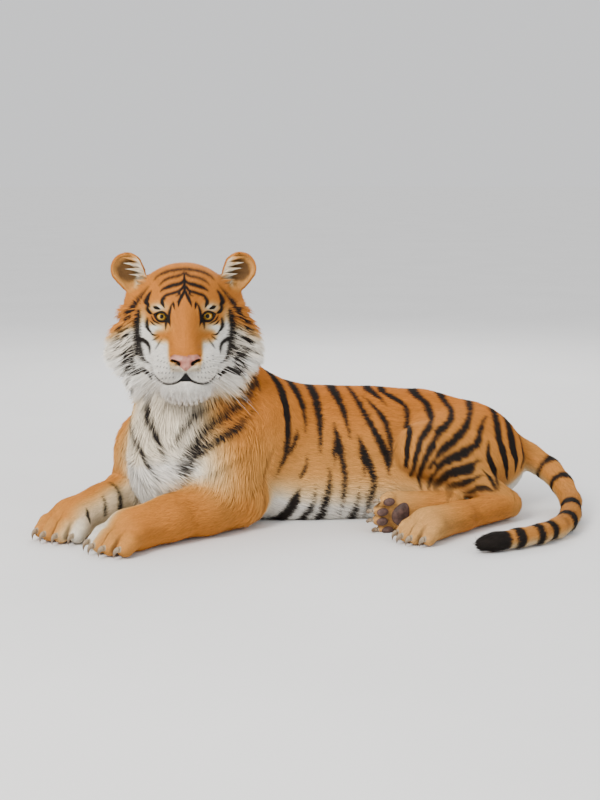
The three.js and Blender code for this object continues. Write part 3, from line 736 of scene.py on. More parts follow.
# The face's, out from its middle line and up, alike on both sides.
CROWN_MARKS = (
    brush(((88, 138), (72, 153), (45, 165), (15, 170), (-5, 172)), 4.2, 0.35, 0.05),
    brush(((74, 122), (56, 139), (36, 147), (14, 152), (0, 163)), 3.8, 0.35, 0.05),
    brush(((69, 106), (57, 115), (34, 124), (9, 131), (0, 145)), 6.2, 0.4, 0.25),
    brush(((67, 68), (64, 84), (50, 97), (28, 104), (11, 111), (0, 128)), 4.4, 0.35, 0.15),
    brush(((0, 168), (0, 120), (1, 96)), 3.6, 0.1, 0.3),
    brush(((2, 112), (9, 88), (24, 76)), 3.6, 0.2, 0.5),
    brush(((4, 104), (13, 84), (20, 62)), 4.6, 0.2, 0.5),
    brush(((10, 106), (18, 97), (27, 93)), 3.0, 0.2, 0.6),
)
BROW_MARKS = (
    brush(((40, 8), (43, 28), (43, 48), (37, 68), (30, 80)), 4.4, 0.4, 0.4),
    brush(((30, 78), (30, 66), (28, 56)), 3.2, 0.3, 0.6),
    brush(((55, 60), (60, 71), (62, 82), (51, 89)), 5.5, 0.5, 0.4),
    brush(((66, 57), (78, 62), (88, 67)), 5.5, 0.6, 0.3),
    brush(((90, 114), (101, 95), (106, 78), (97, 75)), 7.5, 0.7, 0.2),
    brush(((97, 75), (104, 61), (97, 50), (88, 45)), 5.0, 0.2, 0.3),
    brush(((49, 27), (53, 14), (54, -1)), 4.2, 0.2, 0.7),
    brush(((94, 43), (86, 27), (64, 15)), 2.6, 0.3, 0.6),
    brush(((98, 28), (88, 17), (77, 12)), 2.4, 0.4, 0.6),
)
CHEEK_MARKS = (
    brush(((103, 38), (106, 16), (101, 2), (91, -8)), 6.2, 0.4, 0.5),
    brush(((98, -6), (86, -13), (73, -10)), 3.0, 0.3, 0.7),
    brush(((92, -29), (80, -22), (71, -13)), 2.6, 0.4, 0.6),
    brush(((126, 64), (130, 38), (133, 6), (131, -24), (126, -52), (116, -80), (92, -94)), 6.0, 0.2, 0.3),
    brush(((130, -22), (114, -29), (101, -42), (97, -70)), 6.0, 0.1, 0.6),
    brush(((84, -54), (74, -38), (62, -20)), 2.8, 0.5, 0.7),
)
SIDE_MARKS = (
    brush(((93, 131), (118, 100), (146, 64), (160, 34), (165, -15), (167, -46)), 3.8, 0.4, 0.1),
    brush(((167, -46), (154, -54), (152, -92), (141, -120), (121, -109), (101, -121), (92, -140)), 6.0,
          0.1, 0.3),
    brush(((101, -121), (86, -124)), 3.6, 0.1, 0.5),
)
FACE_MARKS = CROWN_MARKS + BROW_MARKS + CHEEK_MARKS + SIDE_MARKS
NAPE_MARKS = (
    brush(((0, 150), (50, 143), (92, 122)), 6.5, 0.05, 0.5),
    brush(((0, 112), (58, 102), (104, 76)), 7.5, 0.05, 0.5),
    brush(((0, 72), (60, 60), (112, 30)), 7.5, 0.05, 0.5),
    brush(((14, 30), (70, 14), (128, -20)), 7.0, 0.3, 0.5),
    brush(((140, 60), (164, 20), (172, -30)), 6.5, 0.3, 0.5),
)
# Along the foreleg from the elbow, and up, on its inner side.
FORELEG_MARKS = (
    brush(((318, 150), (334, 104), (354, 58)), 9.5, 0.7, 0.05),
    brush(((380, 118), (391, 92), (404, 52)), 5.5, 0.5, 0.2),
    brush(((452, 92), (462, 74), (474, 50)), 5.0, 0.5, 0.3),
    brush(((250, 150), (262, 110), (285, 60)), 8, 0.6, 0.3),
)
# How many mm a degree is round the trunk and round the chest, and how soft a stripe's edge is.
DEGREE = 3.23
CHEST_DEGREE = 3.3
STRIPE_EDGE = 1.6
# Each ring's place along the tail and half its width, and how long the dark tip is.
TAIL_RINGS = ((174, 16), (256, 16), (419, 23), (555, 21), (677, 16), (735, 14), (806, 16))
TAIL_TIP = 74
# Rows of whiskers on the muzzle: where each starts and ends, out and up, and how many roots it has.
WHISKER_ROWS = (
    ((76, -71), (60, -76), 2), ((84, -79), (50, -90), 5), ((86, -97), (34, -107), 7),
    ((84, -116), (34, -117), 6), ((74, -134), (34, -129), 5),
)


def cover(stripes, x, y, edge, scale=(1.0, 1.0)):
    """How dark the stripes make each place: 1 inside, 0 outside, with an edge of a few mm."""
    dark = np.zeros(len(x))
    for stripe in stripes:
        line = rounded(stripe) * (*scale, 1)
        reach = line[:, 2].max() + 2 * edge
        low, high = line[:, :2].min(0) - reach, line[:, :2].max(0) + reach
        near = np.flatnonzero((x > low[0]) & (x < high[0]) & (y > low[1]) & (y < high[1]))
        if len(near):
            d, half = curve_distance(line[:, :2], x[near], y[near], line[:, 2])
            dark[near] = np.maximum(dark[near], smooth(half - d, -edge, edge))
    return dark


def trunk_dark(where, jitter):
    along, angle = where.trunk
    right = smooth(-angle, 2, 30)
    shifted = along + right * 26 * np.sin(along / 71.0 + 1.3) + jitter[:, 0]
    turned = np.abs(angle) * (1 + right * 0.07 * np.sin(along / 43.0))
    round_trunk = turned * DEGREE + jitter[:, 1]

    def painted(stripes):
        return cover(stripes, shifted, round_trunk, STRIPE_EDGE, (1, DEGREE))

    shoulder = painted(SHOULDER_STRIPES) * (1 - right)
    left = painted(LEFT_STRIPES) * (1 - right * smooth(turned, 70, 78))
    back = np.maximum.reduce([painted(BACK_STRIPES), shoulder, left, painted(RIGHT_STRIPES) * right])
    turn, height = where.chest
    round_chest = turn * CHEST_DEGREE + jitter[:, 0]
    front = cover(CHEST_STRIPES, round_chest, height + jitter[:, 1], STRIPE_EDGE, (CHEST_DEGREE, 1))
    return np.maximum(back * smooth(along, -372, -350), front * smooth(-along, 215, 235))


def tail_dark(where, jitter):
    along, _ = where.tail
    inside = [half - np.abs(along - place + jitter[:, 0]) for place, half in TAIL_RINGS]
    rings = smooth(np.maximum.reduce(inside), -2, 2)
    return np.maximum(rings, smooth(along - TAIL_LENGTH + TAIL_TIP, -3, 3))


def leg_dark(where, name, inner, jitter):
    side, high, far, _ = where.legs[name]
    marks = cover(FORELEG_MARKS, far + jitter[:, 0], high + jitter[:, 1], STRIPE_EDGE)
    return marks * smooth(side * inner, 0, 14)


def head_dark(where, jitter):
    a, w, n = on_head(where)
    fine = jitter * 0.35
    front = smooth(n, -34, -22)
    marks = cover(FACE_MARKS, a + fine[:, 0], w + fine[:, 1], 1.0) * front
    behind = cover(NAPE_MARKS, a + jitter[:, 0], w + jitter[:, 1], STRIPE_EDGE) * (1 - front)
    opening = eye_opening(a, w)
    lids = smooth(5.0 - opening, -1, 1) * smooth(n, 80, 92)
    corner, _ = curve_distance(((44, 23), (50, 30)), a, w)
    lids = np.maximum(lids, smooth(4.5 - corner, -1, 1) * smooth(n, 80, 92))
    line, along = curve_distance(rounded(MOUTH_LINE), a, w)
    lips = smooth(3.6 * (1 - 0.55 * along) - line, -1, 1) * smooth(n, 90, 110)
    lips = lips * (1 - 0.7 * smooth(a, 74, 84) * smooth(np.abs(w + 128), 4, 9))
    # Painted shade: the mouth's gap is coloured near black.
    gap = smooth(-mouth_gap(a, w), -1, 1) * smooth(n, 120, 140)
    dots = np.zeros(len(a))
    for start, end, count in WHISKER_ROWS:
        for t in np.linspace(0, 1, count):
            x, y = start[0] + (end[0] - start[0]) * t, start[1] + (end[1] - start[1]) * t
            dots = np.maximum(dots, smooth(1.9 - np.hypot(a - x, w - y), -0.7, 0.7))
    dots = 0.85 * dots * smooth(n, 90, 100) * smooth(84 - a, 0, 8)
    return np.maximum.reduce([marks, behind, lids, lips, gap, dots])


def ear_places(where):
    """For each place on an ear: 1 on its front, 1 on the hair over its hollow, mm from its back's spot."""
    a, w, _ = on_head(where)
    cup = cup_distance(where.p)
    away = np.hypot(a - EAR["side"] + 3, w - EAR["up"] + 3)
    return smooth(2.2 - cup, 0, 1.6), smooth(-cup, 4, 9), away + 2.5 * value_noise(where.p, 7, 31)


def ear_dark(where):
    _, w, n = where.head
    front, hair, away = ear_places(where)
    behind = (1 - front) * smooth(w, 106, 126) * smooth(2 - n, 0, 6) * smooth(away, 13, 18)
    deep = front * (1 - hair) * smooth(40 - away, 0, 14) * smooth(10 - n, 0, 8) * 0.8
    return np.maximum(behind, deep)


def dark_share(where):
    """How dark the markings, and the painted shade in the mouth's gap, make each place, from 0 to 1."""
    jitter = np.stack([value_noise(where.p, 11, 3), value_noise(where.p, 11, 4)], axis=1) * 2.4
    return by_share(where, {
        "core": trunk_dark(where, jitter),
        "foreleg_left": leg_dark(where, "foreleg_left", -1, jitter),
        "foreleg_right": leg_dark(where, "foreleg_right", 1, jitter),
        "tail": tail_dark(where, jitter),
        "head": head_dark(where, jitter),
        "ears": ear_dark(where),
    })


def face_pale(where):
    """How white the head's hair is."""
    a, w, n = on_head(where)

    def patch(x, y, wide, high):
        return np.exp(-(((a - x) / wide) ** 2) - ((w - y) / high) ** 2)

    front = smooth(n, 10, 60)
    brows = patch(74, 62, 24, 13) * front
    under = patch(76, 8, 26, 13) * 0.9 * front
    beside = np.maximum(smooth(a + w * 0.4, 196, 160), smooth(-w, -10, 40))
    cheeks = smooth(a, 72, 98) * smooth(-w, -30, 10) * beside
    pads = smooth(a, 40, 52) * smooth(-w, 14, 44) * smooth(n, 70, 120)
    chin = smooth(-w, 112, 130)
    lower = smooth(-w, 76, 104)
    inner_line = patch(118, 20, 12, 34) * 0.8 * front
    return np.clip(brows + under + cheeks * 0.95 + pads + chin + lower * 0.9 + inner_line, 0, 1)


def pale_share(where):
    """How white the hair is at each place, from 0 to 1."""
    along, angle = where.trunk
    turn, height = where.chest
    turned = np.abs(angle)
    front = smooth(-along, 330, 420)
    hip = 34 * smooth(along, 40, 180) * (angle < 0)
    belly = smooth(turned - hip, 98, 136) * (1 - front)
    bib = front * smooth(62 - np.abs(turn), 0, 42) * smooth(470 - height, 0, 60)
    flank = 0.2 * smooth(turned, 50, 110)
    core = np.clip(np.maximum(belly, bib * 0.9) + flank, 0, 1)
    pale = core * share(where, "core")
    for name, inner in (("foreleg_left", -1), ("foreleg_right", 1), ("hind_left", 0), ("hind_right", 0)):
        side, _, far, _ = where.legs[name]
        if inner:
            found = 0.04 + 0.75 * smooth(side * inner, 0, 60) + 0.22 * smooth(far, 440, 580)
        else:
            found = 0.06 + 0.34 * smooth(far, -260, -40)
        pale += np.clip(found, 0, 1) * share(where, name)
    _, tail_angle = where.tail
    pale += (0.14 + 0.6 * smooth(np.abs(tail_angle), 70, 140)) * share(where, "tail")
    pale += face_pale(where) * share(where, "head")
    front, hair, away = ear_places(where)
    spot = (1 - front) * smooth(-where.head[2], 2, 8) * smooth(18 - away, 0, 5)
    inner = np.maximum(hair, smooth(146 - np.abs(where.head[0]), 0, 14))
    pale += np.maximum(front * (0.3 + 0.62 * inner), spot) * share(where, "ears")
    return np.clip(pale, 0, 1)


def fold_shade_share(where):
    """How much painted shade darkens the coat: 1 in the folds between the forelegs and the chest and between
    the toes, 0.75 in the shadow under the beard.
    """
    turn, height = where.chest
    along, _ = where.trunk
    chest_fold_shade = cover(CHEST_FOLD_SHADE, turn * CHEST_DEGREE, height, 4.0, (CHEST_DEGREE, 1)) * smooth(-along, 190, 215)
    a, w, n = on_head(where)
    beard_shadow = smooth(-w, 190, 204) * smooth(w, -262, -222) * smooth(84 - a, 0, 30) * smooth(n, 30, 70)
    found = np.maximum(chest_fold_shade, 0.75 * beard_shadow) * share(where, "core")
    for name, (f, foot) in FEET.items():
        side, high, far = local(f, where.p)
        place = side / foot["spread"]
        gap = np.abs(place - np.clip(np.round(place), -1, 1)) * foot["spread"]
        reach = smooth(far, -foot["toes"] * 0.62, -foot["toes"] * 0.25) * smooth(high, 4, 16)
        found = found + smooth(3.2 - gap, -1.8, 1.8) * reach * share(where, name)
    return np.clip(found, 0, 1)


def comb_places(where):
    """Coordinates that run across and along the hair, which a noise drawn out along its lie takes."""
    along, angle = where.trunk
    turn, height = where.chest
    arc, tail_angle = where.tail
    u, w, n = where.head
    comb = np.stack([angle * DEGREE * 0.55, along * 0.05, where.p[:, 2] * 0.02], axis=1)
    front = in_group(where, "core") & (along < CHEST_PLACE)
    comb[front] = np.stack([turn * 1.8, height * 0.05, 0 * height], axis=1)[front]
    for name in LEG_FRAMES:
        _, _, far, leg_angle = where.legs[name]
        mine = in_group(where, name)
        comb[mine] = np.stack([leg_angle * 0.8, far * 0.06, 0 * far], axis=1)[mine]
    mine = in_group(where, "tail")
    comb[mine] = np.stack([tail_angle * 0.4, arc * 0.06, 0 * arc], axis=1)[mine]
    mine = in_group(where, "head") | in_group(where, "ears")
    polar = np.degrees(np.arctan2(w + 62, u))
    comb[mine] = np.stack([polar * 0.9, np.hypot(u, w + 62) * 0.08, n * 0.08], axis=1)[mine]
    return comb


def coat_colour(where, shade, dark):
    """The coat's colour at places on the body: how dark the stripes and the painted shade of the mouth's gap
    make each, a small lightening, and painted shade in the folds.
    """
    look = bpy.context.scene.tiger_coat
    back, flank, white, black = (np.array(c) for c in (look.back, look.flank, look.white, look.black))
    _, angle = where.trunk
    down = smooth(np.abs(angle), 10, 80)[:, None]
    down = np.where(share(where, "core")[:, None] > 0.5, down, 0.55)
    patch = value_noise(where.p, 60, 7)[:, None] * 0.06
    patch = patch + value_noise(comb_places(where), 3.4, 9)[:, None] * 0.09
    ground = back * (1 - down) + flank * down
    pale = pale_share(where)[:, None]
    dark = dark[:, None]
    ground = ground ** (1 - pale) * white**pale
    # Painted shade: the coat is darker in the folds, between the toes and under the beard.
    ground = ground * (1 + patch + shade[:, None]) * (1 - 0.6 * fold_shade_share(where)[:, None])
    return np.clip(ground * (1 - dark) + black * (1 + 2 * shade[:, None]) * dark, 0, 1)


# ------------------------------------------------------------------------ the coat's depth and length
def face_share(where):
    """1 on the short-haired face, 0 on the ruff, the crown and the throat."""
    a, w, n = on_head(where)
    out = smooth(a, 88, 140) + smooth(40 - n, 0, 60) + smooth(w, 100, 170) * 0.6
    low = smooth(-w, 128, 160) * smooth(150 - n, 0, 60)
    return np.clip(1 - np.maximum(out, low), 0, 1)


def paw_share(where, name):
    """1 on a leg's paw."""
    _, _, far, _ = where.legs[name]
    return smooth(far, 380, 470) if name.startswith("fore") else smooth(far, -210, -110)


def ruff_share(where):
    """1 on the ruff beside and under the face."""
    a, w, n = on_head(where)
    beside = smooth(a, 105, 160) * smooth(70 - w, 0, 60)
    return np.maximum(beside, smooth(-w, 130, 165) * smooth(110 - n, 0, 60))


def beard_share(where):
    """1 on the beard under the chin."""
    _, w, n = where.head
    return smooth(-w, 160, 185) * smooth(n, 80, 110)


def whole_share(where):
    """1 on the cheeks and the ruff, where a tuft that a mark crosses is dark all along."""
    a, w, _ = on_head(where)
    beside = smooth(a, 96, 122)
    low = smooth(a, 78, 100) * smooth(-w, 84, 104)
    return np.maximum(beside, low) * share(where, "head")


def coat_depth(where):
    """How far the skin lies under the tips of the coat, in mm."""
    head = 4 + 4.5 * (1 - face_share(where)) + 15 * ruff_share(where) + 6 * beard_share(where)
    front = smooth(-where.trunk[0], 330, 420)
    found = {"core": 9 + 5 * front, "tail": 8, "head": head, "ears": 2.6}
    for name in LEG_FRAMES:
        found[name] = 7 - 3 * paw_share(where, name)
    return by_share(where, found)


def coat_length(where):
    """How long the short coat's hair is, in mm."""
    a, w, n = on_head(where)
    opening = np.maximum(eye_opening(a, w), 0)
    head = 20 - 12.5 * face_share(where) + 20 * ruff_share(where)
    head = np.where((n > 60) & (opening < 30), np.minimum(head, 2.6 + 0.3 * opening), head)
    front = smooth(-where.trunk[0], 330, 420)
    found = {"core": 20 + 13 * front, "tail": 19, "head": head, "ears": 8}
    for name in LEG_FRAMES:
        found[name] = 20 - 11 * paw_share(where, name)
    return by_share(where, found)


def leather_share(where):
    """1 on the nose leather."""
    a, w, n = on_head(where)
    top = np.interp(a, *zip(*NOSE_TOP))
    foot = np.interp(a, *zip(*NOSE_FOOT))
    return smooth(np.minimum(top - w, w - foot), -1, 1) * smooth(n, 170, 180)


def bare_share(where):
    """1 where no hair grows: nose, lips' inner side, eye openings and what lies on the floor."""
    a, w, n = on_head(where)
    head = share(where, "head")
    eye = smooth(1.2 - eye_opening(a, w), 0, 1.2) * smooth(n, 80, 90)
    leather = leather_share(where)
    mouth = ((a < 20) & (w < -119) & (w > -142) & (n > 120)) * 1.0
    line, _ = curve_distance(rounded(MOUTH_LINE), a, w)
    lips = smooth(3.0 - line, 0, 1) * smooth(n, 90, 100)
    found = np.maximum.reduce([eye, leather, mouth, lips]) * (head > 0.3)
    return np.maximum(found, smooth(7 - where.p[:, 2], 0, 2))


def hair_lie(p, where):
    """The way the hair lies at places on the body: a direction, not yet laid along the skin."""
    total = np.zeros((len(p), 3))
    for name, (forms, _) in GROUPS.items():
        if name in ("head", "ears"):
            continue
        weight = share(where, name)
        mine = np.flatnonzero(weight > 0.02)
        if not len(mine):
            continue
        q = p[mine]
        distances = np.stack([form.distance(q) for form in forms], axis=1)
        nearness = np.exp(-(distances - distances.min(1, keepdims=True)) / 14)
        lies = np.array([unit(form.lie) for form in forms])
        total[mine] += unit_rows(nearness @ lies) * weight[mine, None]
    u, w, n = where.head
    side = np.where(u < 0, -1.0, 1.0)
    a = np.abs(u)
    low = smooth(-w, 20, 110)
    rise = (w + 62) * (1 - 0.2 * low) - 46 * low
    beside = smooth(a, 92, 136) * smooth(95 - w, 0, 55)
    rise = rise * (1 - beside) - 62 * beside
    back = 0.35 * (230 - n) * smooth(150 - n, -60, 60)
    head = unit_rows(np.stack([(a + 3) * side, rise, -back - 12], axis=1))
    lie = np.outer(head[:, 0], HEAD.left) + np.outer(head[:, 1], HEAD.top) + np.outer(head[:, 2], HEAD.ahead)
    total += lie * share(where, "head")[:, None]
    ear = np.outer(side * 0.45, HEAD.left) + HEAD.top * 0.85
    total += unit_rows(ear) * share(where, "ears")[:, None]
    return unit_rows(total)


# ---------------------------------------------------------------------------------- meshing a field
LOW_CORNER = point(-500, -1160, -200)
COARSEST = 40.0
EXTENT = point(1400, 2080, 1160)
FINEST_LEVEL = 5
RING = ((0, 0), (1, 0), (1, 1), (0, 1))
Skin = namedtuple("Skin", "points triangles normals where")


def keys(cells):
    """One whole number for each corner of three."""
    return (cells[:, 0] << 42) | (cells[:, 1] << 21) | cells[:, 2]


def unkey(found):
    return np.stack([found >> 42, (found >> 21) & 0x1FFFFF, found & 0x1FFFFF], axis=1)


def level_size(level):
    return COARSEST / 2**level


def wanted_level(p):
    """How fine the mesh is at points: 2 is 10 mm, 5 is 1.25 mm."""
    u, w, n = local(HEAD, p)
    a = np.abs(u)
    level = np.full(len(p), 2)
    head = (a < 235) & (w > -235) & (w < 250) & (n > -60) & (n < 260)
    ears = (a > 90) & (a < 230) & (w > 90) & (w < 245) & (np.abs(n) < 45)
    level[head] = 3
    level[ears] = 4
    for leg in FORELEGS.values():
        level[np.linalg.norm(p - leg["toes"], axis=1) < 165] = 3
    for leg in (HIND_LEFT, HIND_RIGHT):
        level[np.linalg.norm(p - leg["toes"], axis=1) < 150] = 3
    face = (a < 112) & (w > -185) & (w < 105) & (n > 60)
    level[face] = 4
    fine = (eye_opening(a, w) < 9) & (n > 75)
    fine |= (a < 52) & (w > -122) & (w < -55) & (n > 165)
    fine |= (a < 26) & (w > -150) & (w < -100) & (n > 130)
    line, _ = curve_distance(rounded(MOUTH_LINE), a, w)
    fine |= (line < 7) & (n > 70)
    level[fine] = 5
    return level


def octree_leaves(field):
    """The cells that hold the surface, by level: rows of whole-number corners."""
    counts = np.ceil(EXTENT / COARSEST).astype(int)
    cells = np.stack(np.meshgrid(*map(np.arange, counts), indexing="ij"), axis=-1).reshape(-1, 3)
    leaves = {}
    for level in range(FINEST_LEVEL + 1):
        size = level_size(level)
        centres = LOW_CORNER + (cells + 0.5) * size
        near = np.abs(field(centres)) < 1.3 * size
        cells, centres = cells[near], centres[near]
        finer = np.zeros(len(cells), bool)
        if level < FINEST_LEVEL:
            corners = [wanted_level(centres + (np.array(c) - 0.5) * size) for c in np.ndindex(2, 2, 2)]
            finer = np.maximum.reduce([wanted_level(centres), *corners]) > level
        leaves[level] = cells[~finer]
        children = [cells[finer] * 2 + np.array(c) for c in np.ndindex(2, 2, 2)]
        cells = np.concatenate(children)
    return leaves


def level_edges(leaves):
    """The leaves' shortest edges: for each level and axis, the whole-number corners where they start."""
    covered = [np.zeros(0, np.int64)] * 3
    found = {}
    for level in range(FINEST_LEVEL, -1, -1):
        cells = leaves[level]
        for axis in range(3):
            b, c = (axis + 1) % 3, (axis + 2) % 3
            shifted = []
            for first, second in RING:
                base = cells.copy()
                base[:, b] += first
                base[:, c] += second
                shifted.append(keys(base))
            own = np.unique(np.concatenate(shifted))
            every = np.union1d(own, covered[axis])
            found[level, axis] = unkey(np.setdiff1d(own, covered[axis], assume_unique=True))
            base = unkey(every)
            on_line = (base[:, b] % 2 == 0) & (base[:, c] % 2 == 0)
            covered[axis] = np.unique(keys(base[on_line] >> 1))
    return found


def meshed(field):
    """The surface where a field is 0, as a closed mesh that is finer where wanted_level says so."""
    leaves = octree_leaves(field)
    edges = level_edges(leaves)
    order = {level: np.argsort(keys(cells)) for level, cells in leaves.items()}
    sorted_keys = {level: keys(cells)[order[level]] for level, cells in leaves.items()}
    first = dict(zip(leaves, np.cumsum([0, *(len(cells) for cells in leaves.values())])))
    total = sum(len(cells) for cells in leaves.values())
    sums, counts, quads = np.zeros((total, 3)), np.zeros(total), []
    for (level, axis), base in edges.items():
        if not len(base):
            continue
        size = level_size(level)
        step = np.eye(3, dtype=np.int64)[axis]
        both_ends = np.concatenate([keys(base), keys(base + step)])
        corner_keys, corner_of = np.unique(both_ends, return_inverse=True)
        values = field(LOW_CORNER + unkey(corner_keys) * size)[corner_of]
        starts, ends = values[: len(base)], values[len(base) :]
        crossing = (starts < 0) != (ends < 0)
        base, starts, ends = base[crossing], starts[crossing], ends[crossing]
        t = starts / (starts - ends)
        points = LOW_CORNER + (base + t[:, None] * step) * size
        ring = np.full((len(base), 4), -1)
        for i, (db, dc) in enumerate(RING):
            cell = base.copy()
            cell[:, (axis + 1) % 3] -= db
            cell[:, (axis + 2) % 3] -= dc
            for coarser in range(level, -1, -1):
                looked = keys(cell >> (level - coarser))
                known = sorted_keys[coarser]
                if not len(known):
                    continue
                place = np.minimum(np.searchsorted(known, looked), len(known) - 1)
                hit = (known[place] == looked) & (ring[:, i] < 0)
                ring[hit, i] = first[coarser] + order[coarser][place[hit]]
        whole = (ring >= 0).all(1)
        ring, points, inside = ring[whole], points[whole], starts[whole] < 0
        for i in range(4):
            np.add.at(sums, ring[:, i], points)
            np.add.at(counts, ring[:, i], 1)
        quads.append(np.where(inside[:, None], ring, ring[:, ::-1]))
    quads = np.concatenate(quads)
    used = counts > 0
    vertices = sums[used] / counts[used, None]
    sizes = np.concatenate([np.full(len(cells), level_size(level)) for level, cells in leaves.items()])[used]
    renumber = np.cumsum(used) - 1
    vertices = settled(field, vertices, sizes)
    return vertices, triangles_of(vertices, renumber[quads])


def gradient(field, p, value, step=0.4):
    """How steep the field is at points where its value is known."""
    return np.stack([field(p + step * e) - value for e in np.eye(3)], axis=1) / step


def settled(field, p, sizes, rounds=2):
    """Points moved onto the surface, each by no more than half of its cell."""
    start = p.copy()
    for _ in range(rounds):
        value = field(p)
        slope = gradient(field, p, value)
        p = p - value[:, None] * slope / np.maximum((slope * slope).sum(1, keepdims=True), 0.1)
        p = start + np.clip(p - start, -0.5 * sizes[:, None], 0.5 * sizes[:, None])
    return p


def triangles_of(vertices, quads):
    """The four-sided faces halved along their shorter diagonals."""
    a, b, c, d = quads.T
    across = np.linalg.norm(vertices[a] - vertices[c], axis=1)
    other = np.linalg.norm(vertices[b] - vertices[d], axis=1)
    first = (across <= other) | (a == c)
    halves = np.concatenate([
        np.where(first[:, None], quads[:, [0, 1, 2]], quads[:, [0, 1, 3]]),
        np.where(first[:, None], quads[:, [0, 2, 3]], quads[:, [1, 2, 3]]),
    ])
    i, j, k = halves.T
    return halves[(i != j) & (j != k) & (k != i)]


def vertex_normals(vertices, triangles):
    """The mean direction of the triangles at each point."""
    a, b, c = (vertices[triangles[:, i]] for i in range(3))
    normals = np.cross(b - a, c - a)
    total = np.zeros_like(vertices)
    for i in range(3):
        np.add.at(total, triangles[:, i], normals)
    return unit_rows(total)


# How far the skin stays over the floor.
FLOOR_GAP = 1.0


def skin_field(p):
    """Less than 0 inside the skin: the body drawn in by the coat's depth, with the head's fine shape."""
    d, weights = measured(p)
    found = np.maximum(d, 1 - p[:, 2])
    near = np.abs(d) < 90
    q = p[near]
    if len(q):
        where = places(q, weights[near])
        value = d[near] + coat_depth(where)
        a, w, n = on_head(where)
        face = (a < 250) & (np.abs(w) < 260) & (n > -60)
        if face.any():
            value[face] = smooth_max(face_shape(q[face], value[face]), -cup_distance(q[face]), 3)
        found[near] = smooth_max(value, FLOOR_GAP - q[:, 2], 3)
    return found


@lru_cache(maxsize=1)
def skin():
    """The skin's mesh and the place of each of its points, worked out once."""
    points, triangles = meshed(skin_field)
    return Skin(points, triangles, vertex_normals(points, triangles), places(points))


# -------------------------------------------------------------------------------- pieces and meshes
def mesh_piece(name, points, triangles, materials, colours=None):
    """A mesh object from points in mm, that rides on the body."""
    mesh = bpy.data.meshes.new(name)
    mesh.vertices.add(len(points))
    mesh.vertices.foreach_set("co", (np.asarray(points) * MM).astype(np.float32).ravel())
    mesh.loops.add(len(triangles) * 3)
    mesh.loops.foreach_set("vertex_index", np.asarray(triangles, np.int32).ravel())
    mesh.polygons.add(len(triangles))
    mesh.polygons.foreach_set("loop_start", np.arange(0, len(triangles) * 3, 3, dtype=np.int32))
    mesh.update(calc_edges=True)
    mesh.validate()
    if colours is not None:
        attribute = mesh.color_attributes.new("Coat", "FLOAT_COLOR", "POINT")
        rgba = np.ones((len(points), 4), np.float32)
        rgba[:, :3] = colours
        attribute.data.foreach_set("color", rgba.ravel())
    for material in materials:
        mesh.materials.append(material)
    piece = bpy.data.objects.new(name, mesh)
    bpy.context.scene.collection.objects.link(piece)
    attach(piece, "root")
    return piece


def set_uv(mesh, uv):
    """Gives the mesh its unwrap."""
    layer = mesh.uv_layers.new(name="OFBake")
    corners = np.zeros(len(mesh.loops), np.int32)
    mesh.loops.foreach_get("vertex_index", corners)
    layer.data.foreach_set("uv", uv[corners].astype(np.float32).ravel())


# ------------------------------------------------------------------------------------ tufts of hair
Tufts = namedtuple("Tufts", "roots normals lies lengths widths where")
BODY_CHARTS = {
    "back": (0.0, 0.0, 1.0, 0.42), "chest": (0.0, 0.42, 0.46, 0.68),
    "face": (0.46, 0.42, 0.73, 0.68), "nape": (0.73, 0.42, 1.0, 0.68),
    "foreleg_left": (0.0, 0.68, 0.5, 0.78), "foreleg_right": (0.5, 0.68, 1.0, 0.78),
    "hind_left": (0.0, 0.78, 0.5, 0.88), "hind_right": (0.5, 0.78, 1.0, 0.88),
    "tail": (0.0, 0.88, 0.8, 1.0), "ears": (0.8, 0.88, 1.0, 1.0),
}
SPARE_CHART = (0.96, 0.08, 1.0, 0.09)
HEAD_CHARTS = {name: SPARE_CHART for name in BODY_CHARTS} | {
    "back": (0.96, 0.0, 1.0, 0.04), "chest": (0.96, 0.04, 1.0, 0.08),
    "face": (0.0, 0.0, 0.62, 1.0), "nape": (0.62, 0.1, 1.0, 0.6), "ears": (0.62, 0.6, 1.0, 1.0),
}
# The size of one tuft's patch on the unwrap, and its points' spots on it, by how many points it has.
PATCH = 0.003
TUFT_PATCHES = {
    4: np.array([(-0.5, -0.5), (0.5, -0.5), (0.0, -0.2), (0.0, 0.5)]),
    7: np.array([(-0.5, -0.5), (0.5, -0.5), (0.0, -0.4), (-0.3, 0.0), (0.3, 0.0), (0.0, 0.1), (0.0, 0.5)]),
}


def charted(where, charts):
    """Each place's spot on an unwrap of the skin, one chart for each part of the body."""
    spots = np.zeros((len(where.p), 2))
    along, angle = where.trunk
    turn, height = where.chest
    arc, tail_angle = where.tail
    u, w, n = where.head

    def spread(values, ends, low, high):
        t = np.clip((values - ends[0]) / (ends[1] - ends[0]), 0, 1)
        return low + PATCH + t * (high - low - 2 * PATCH)

    def put(mine, chart, x, y, x_ends, y_ends):
        x0, y0, x1, y1 = charts[chart]
        spot = np.stack([spread(x, x_ends, x0, x1), spread(y, y_ends, y0, y1)], axis=1)
        spots[mine] = spot[mine]

    core = in_group(where, "core")
    put(core & (along >= CHEST_PLACE), "back", along, angle, (CHEST_PLACE, 560), (-180, 180))
    put(core & (along < CHEST_PLACE), "chest", turn, height, (-180, 180), (0, 580))
    for name in LEG_FRAMES:
        _, _, far, leg_angle = where.legs[name]
        reach = (-80, 600) if name.startswith("fore") else (-520, 20)
        put(in_group(where, name), name, far, leg_angle, reach, (-180, 180))
    put(in_group(where, "tail"), "tail", arc, tail_angle, (0, TAIL_LENGTH), (-180, 180))
    head = in_group(where, "head")
    put(head & (n >= 0), "face", u, w, (-215, 215), (-215, 215))
    put(head & (n < 0), "nape", u, w, (-215, 215), (-215, 215))
    backs = np.where(n > 0, 0, 450)
    put(in_group(where, "ears"), "ears", u + backs, w, (-215, 665), (60, 235))
    return spots


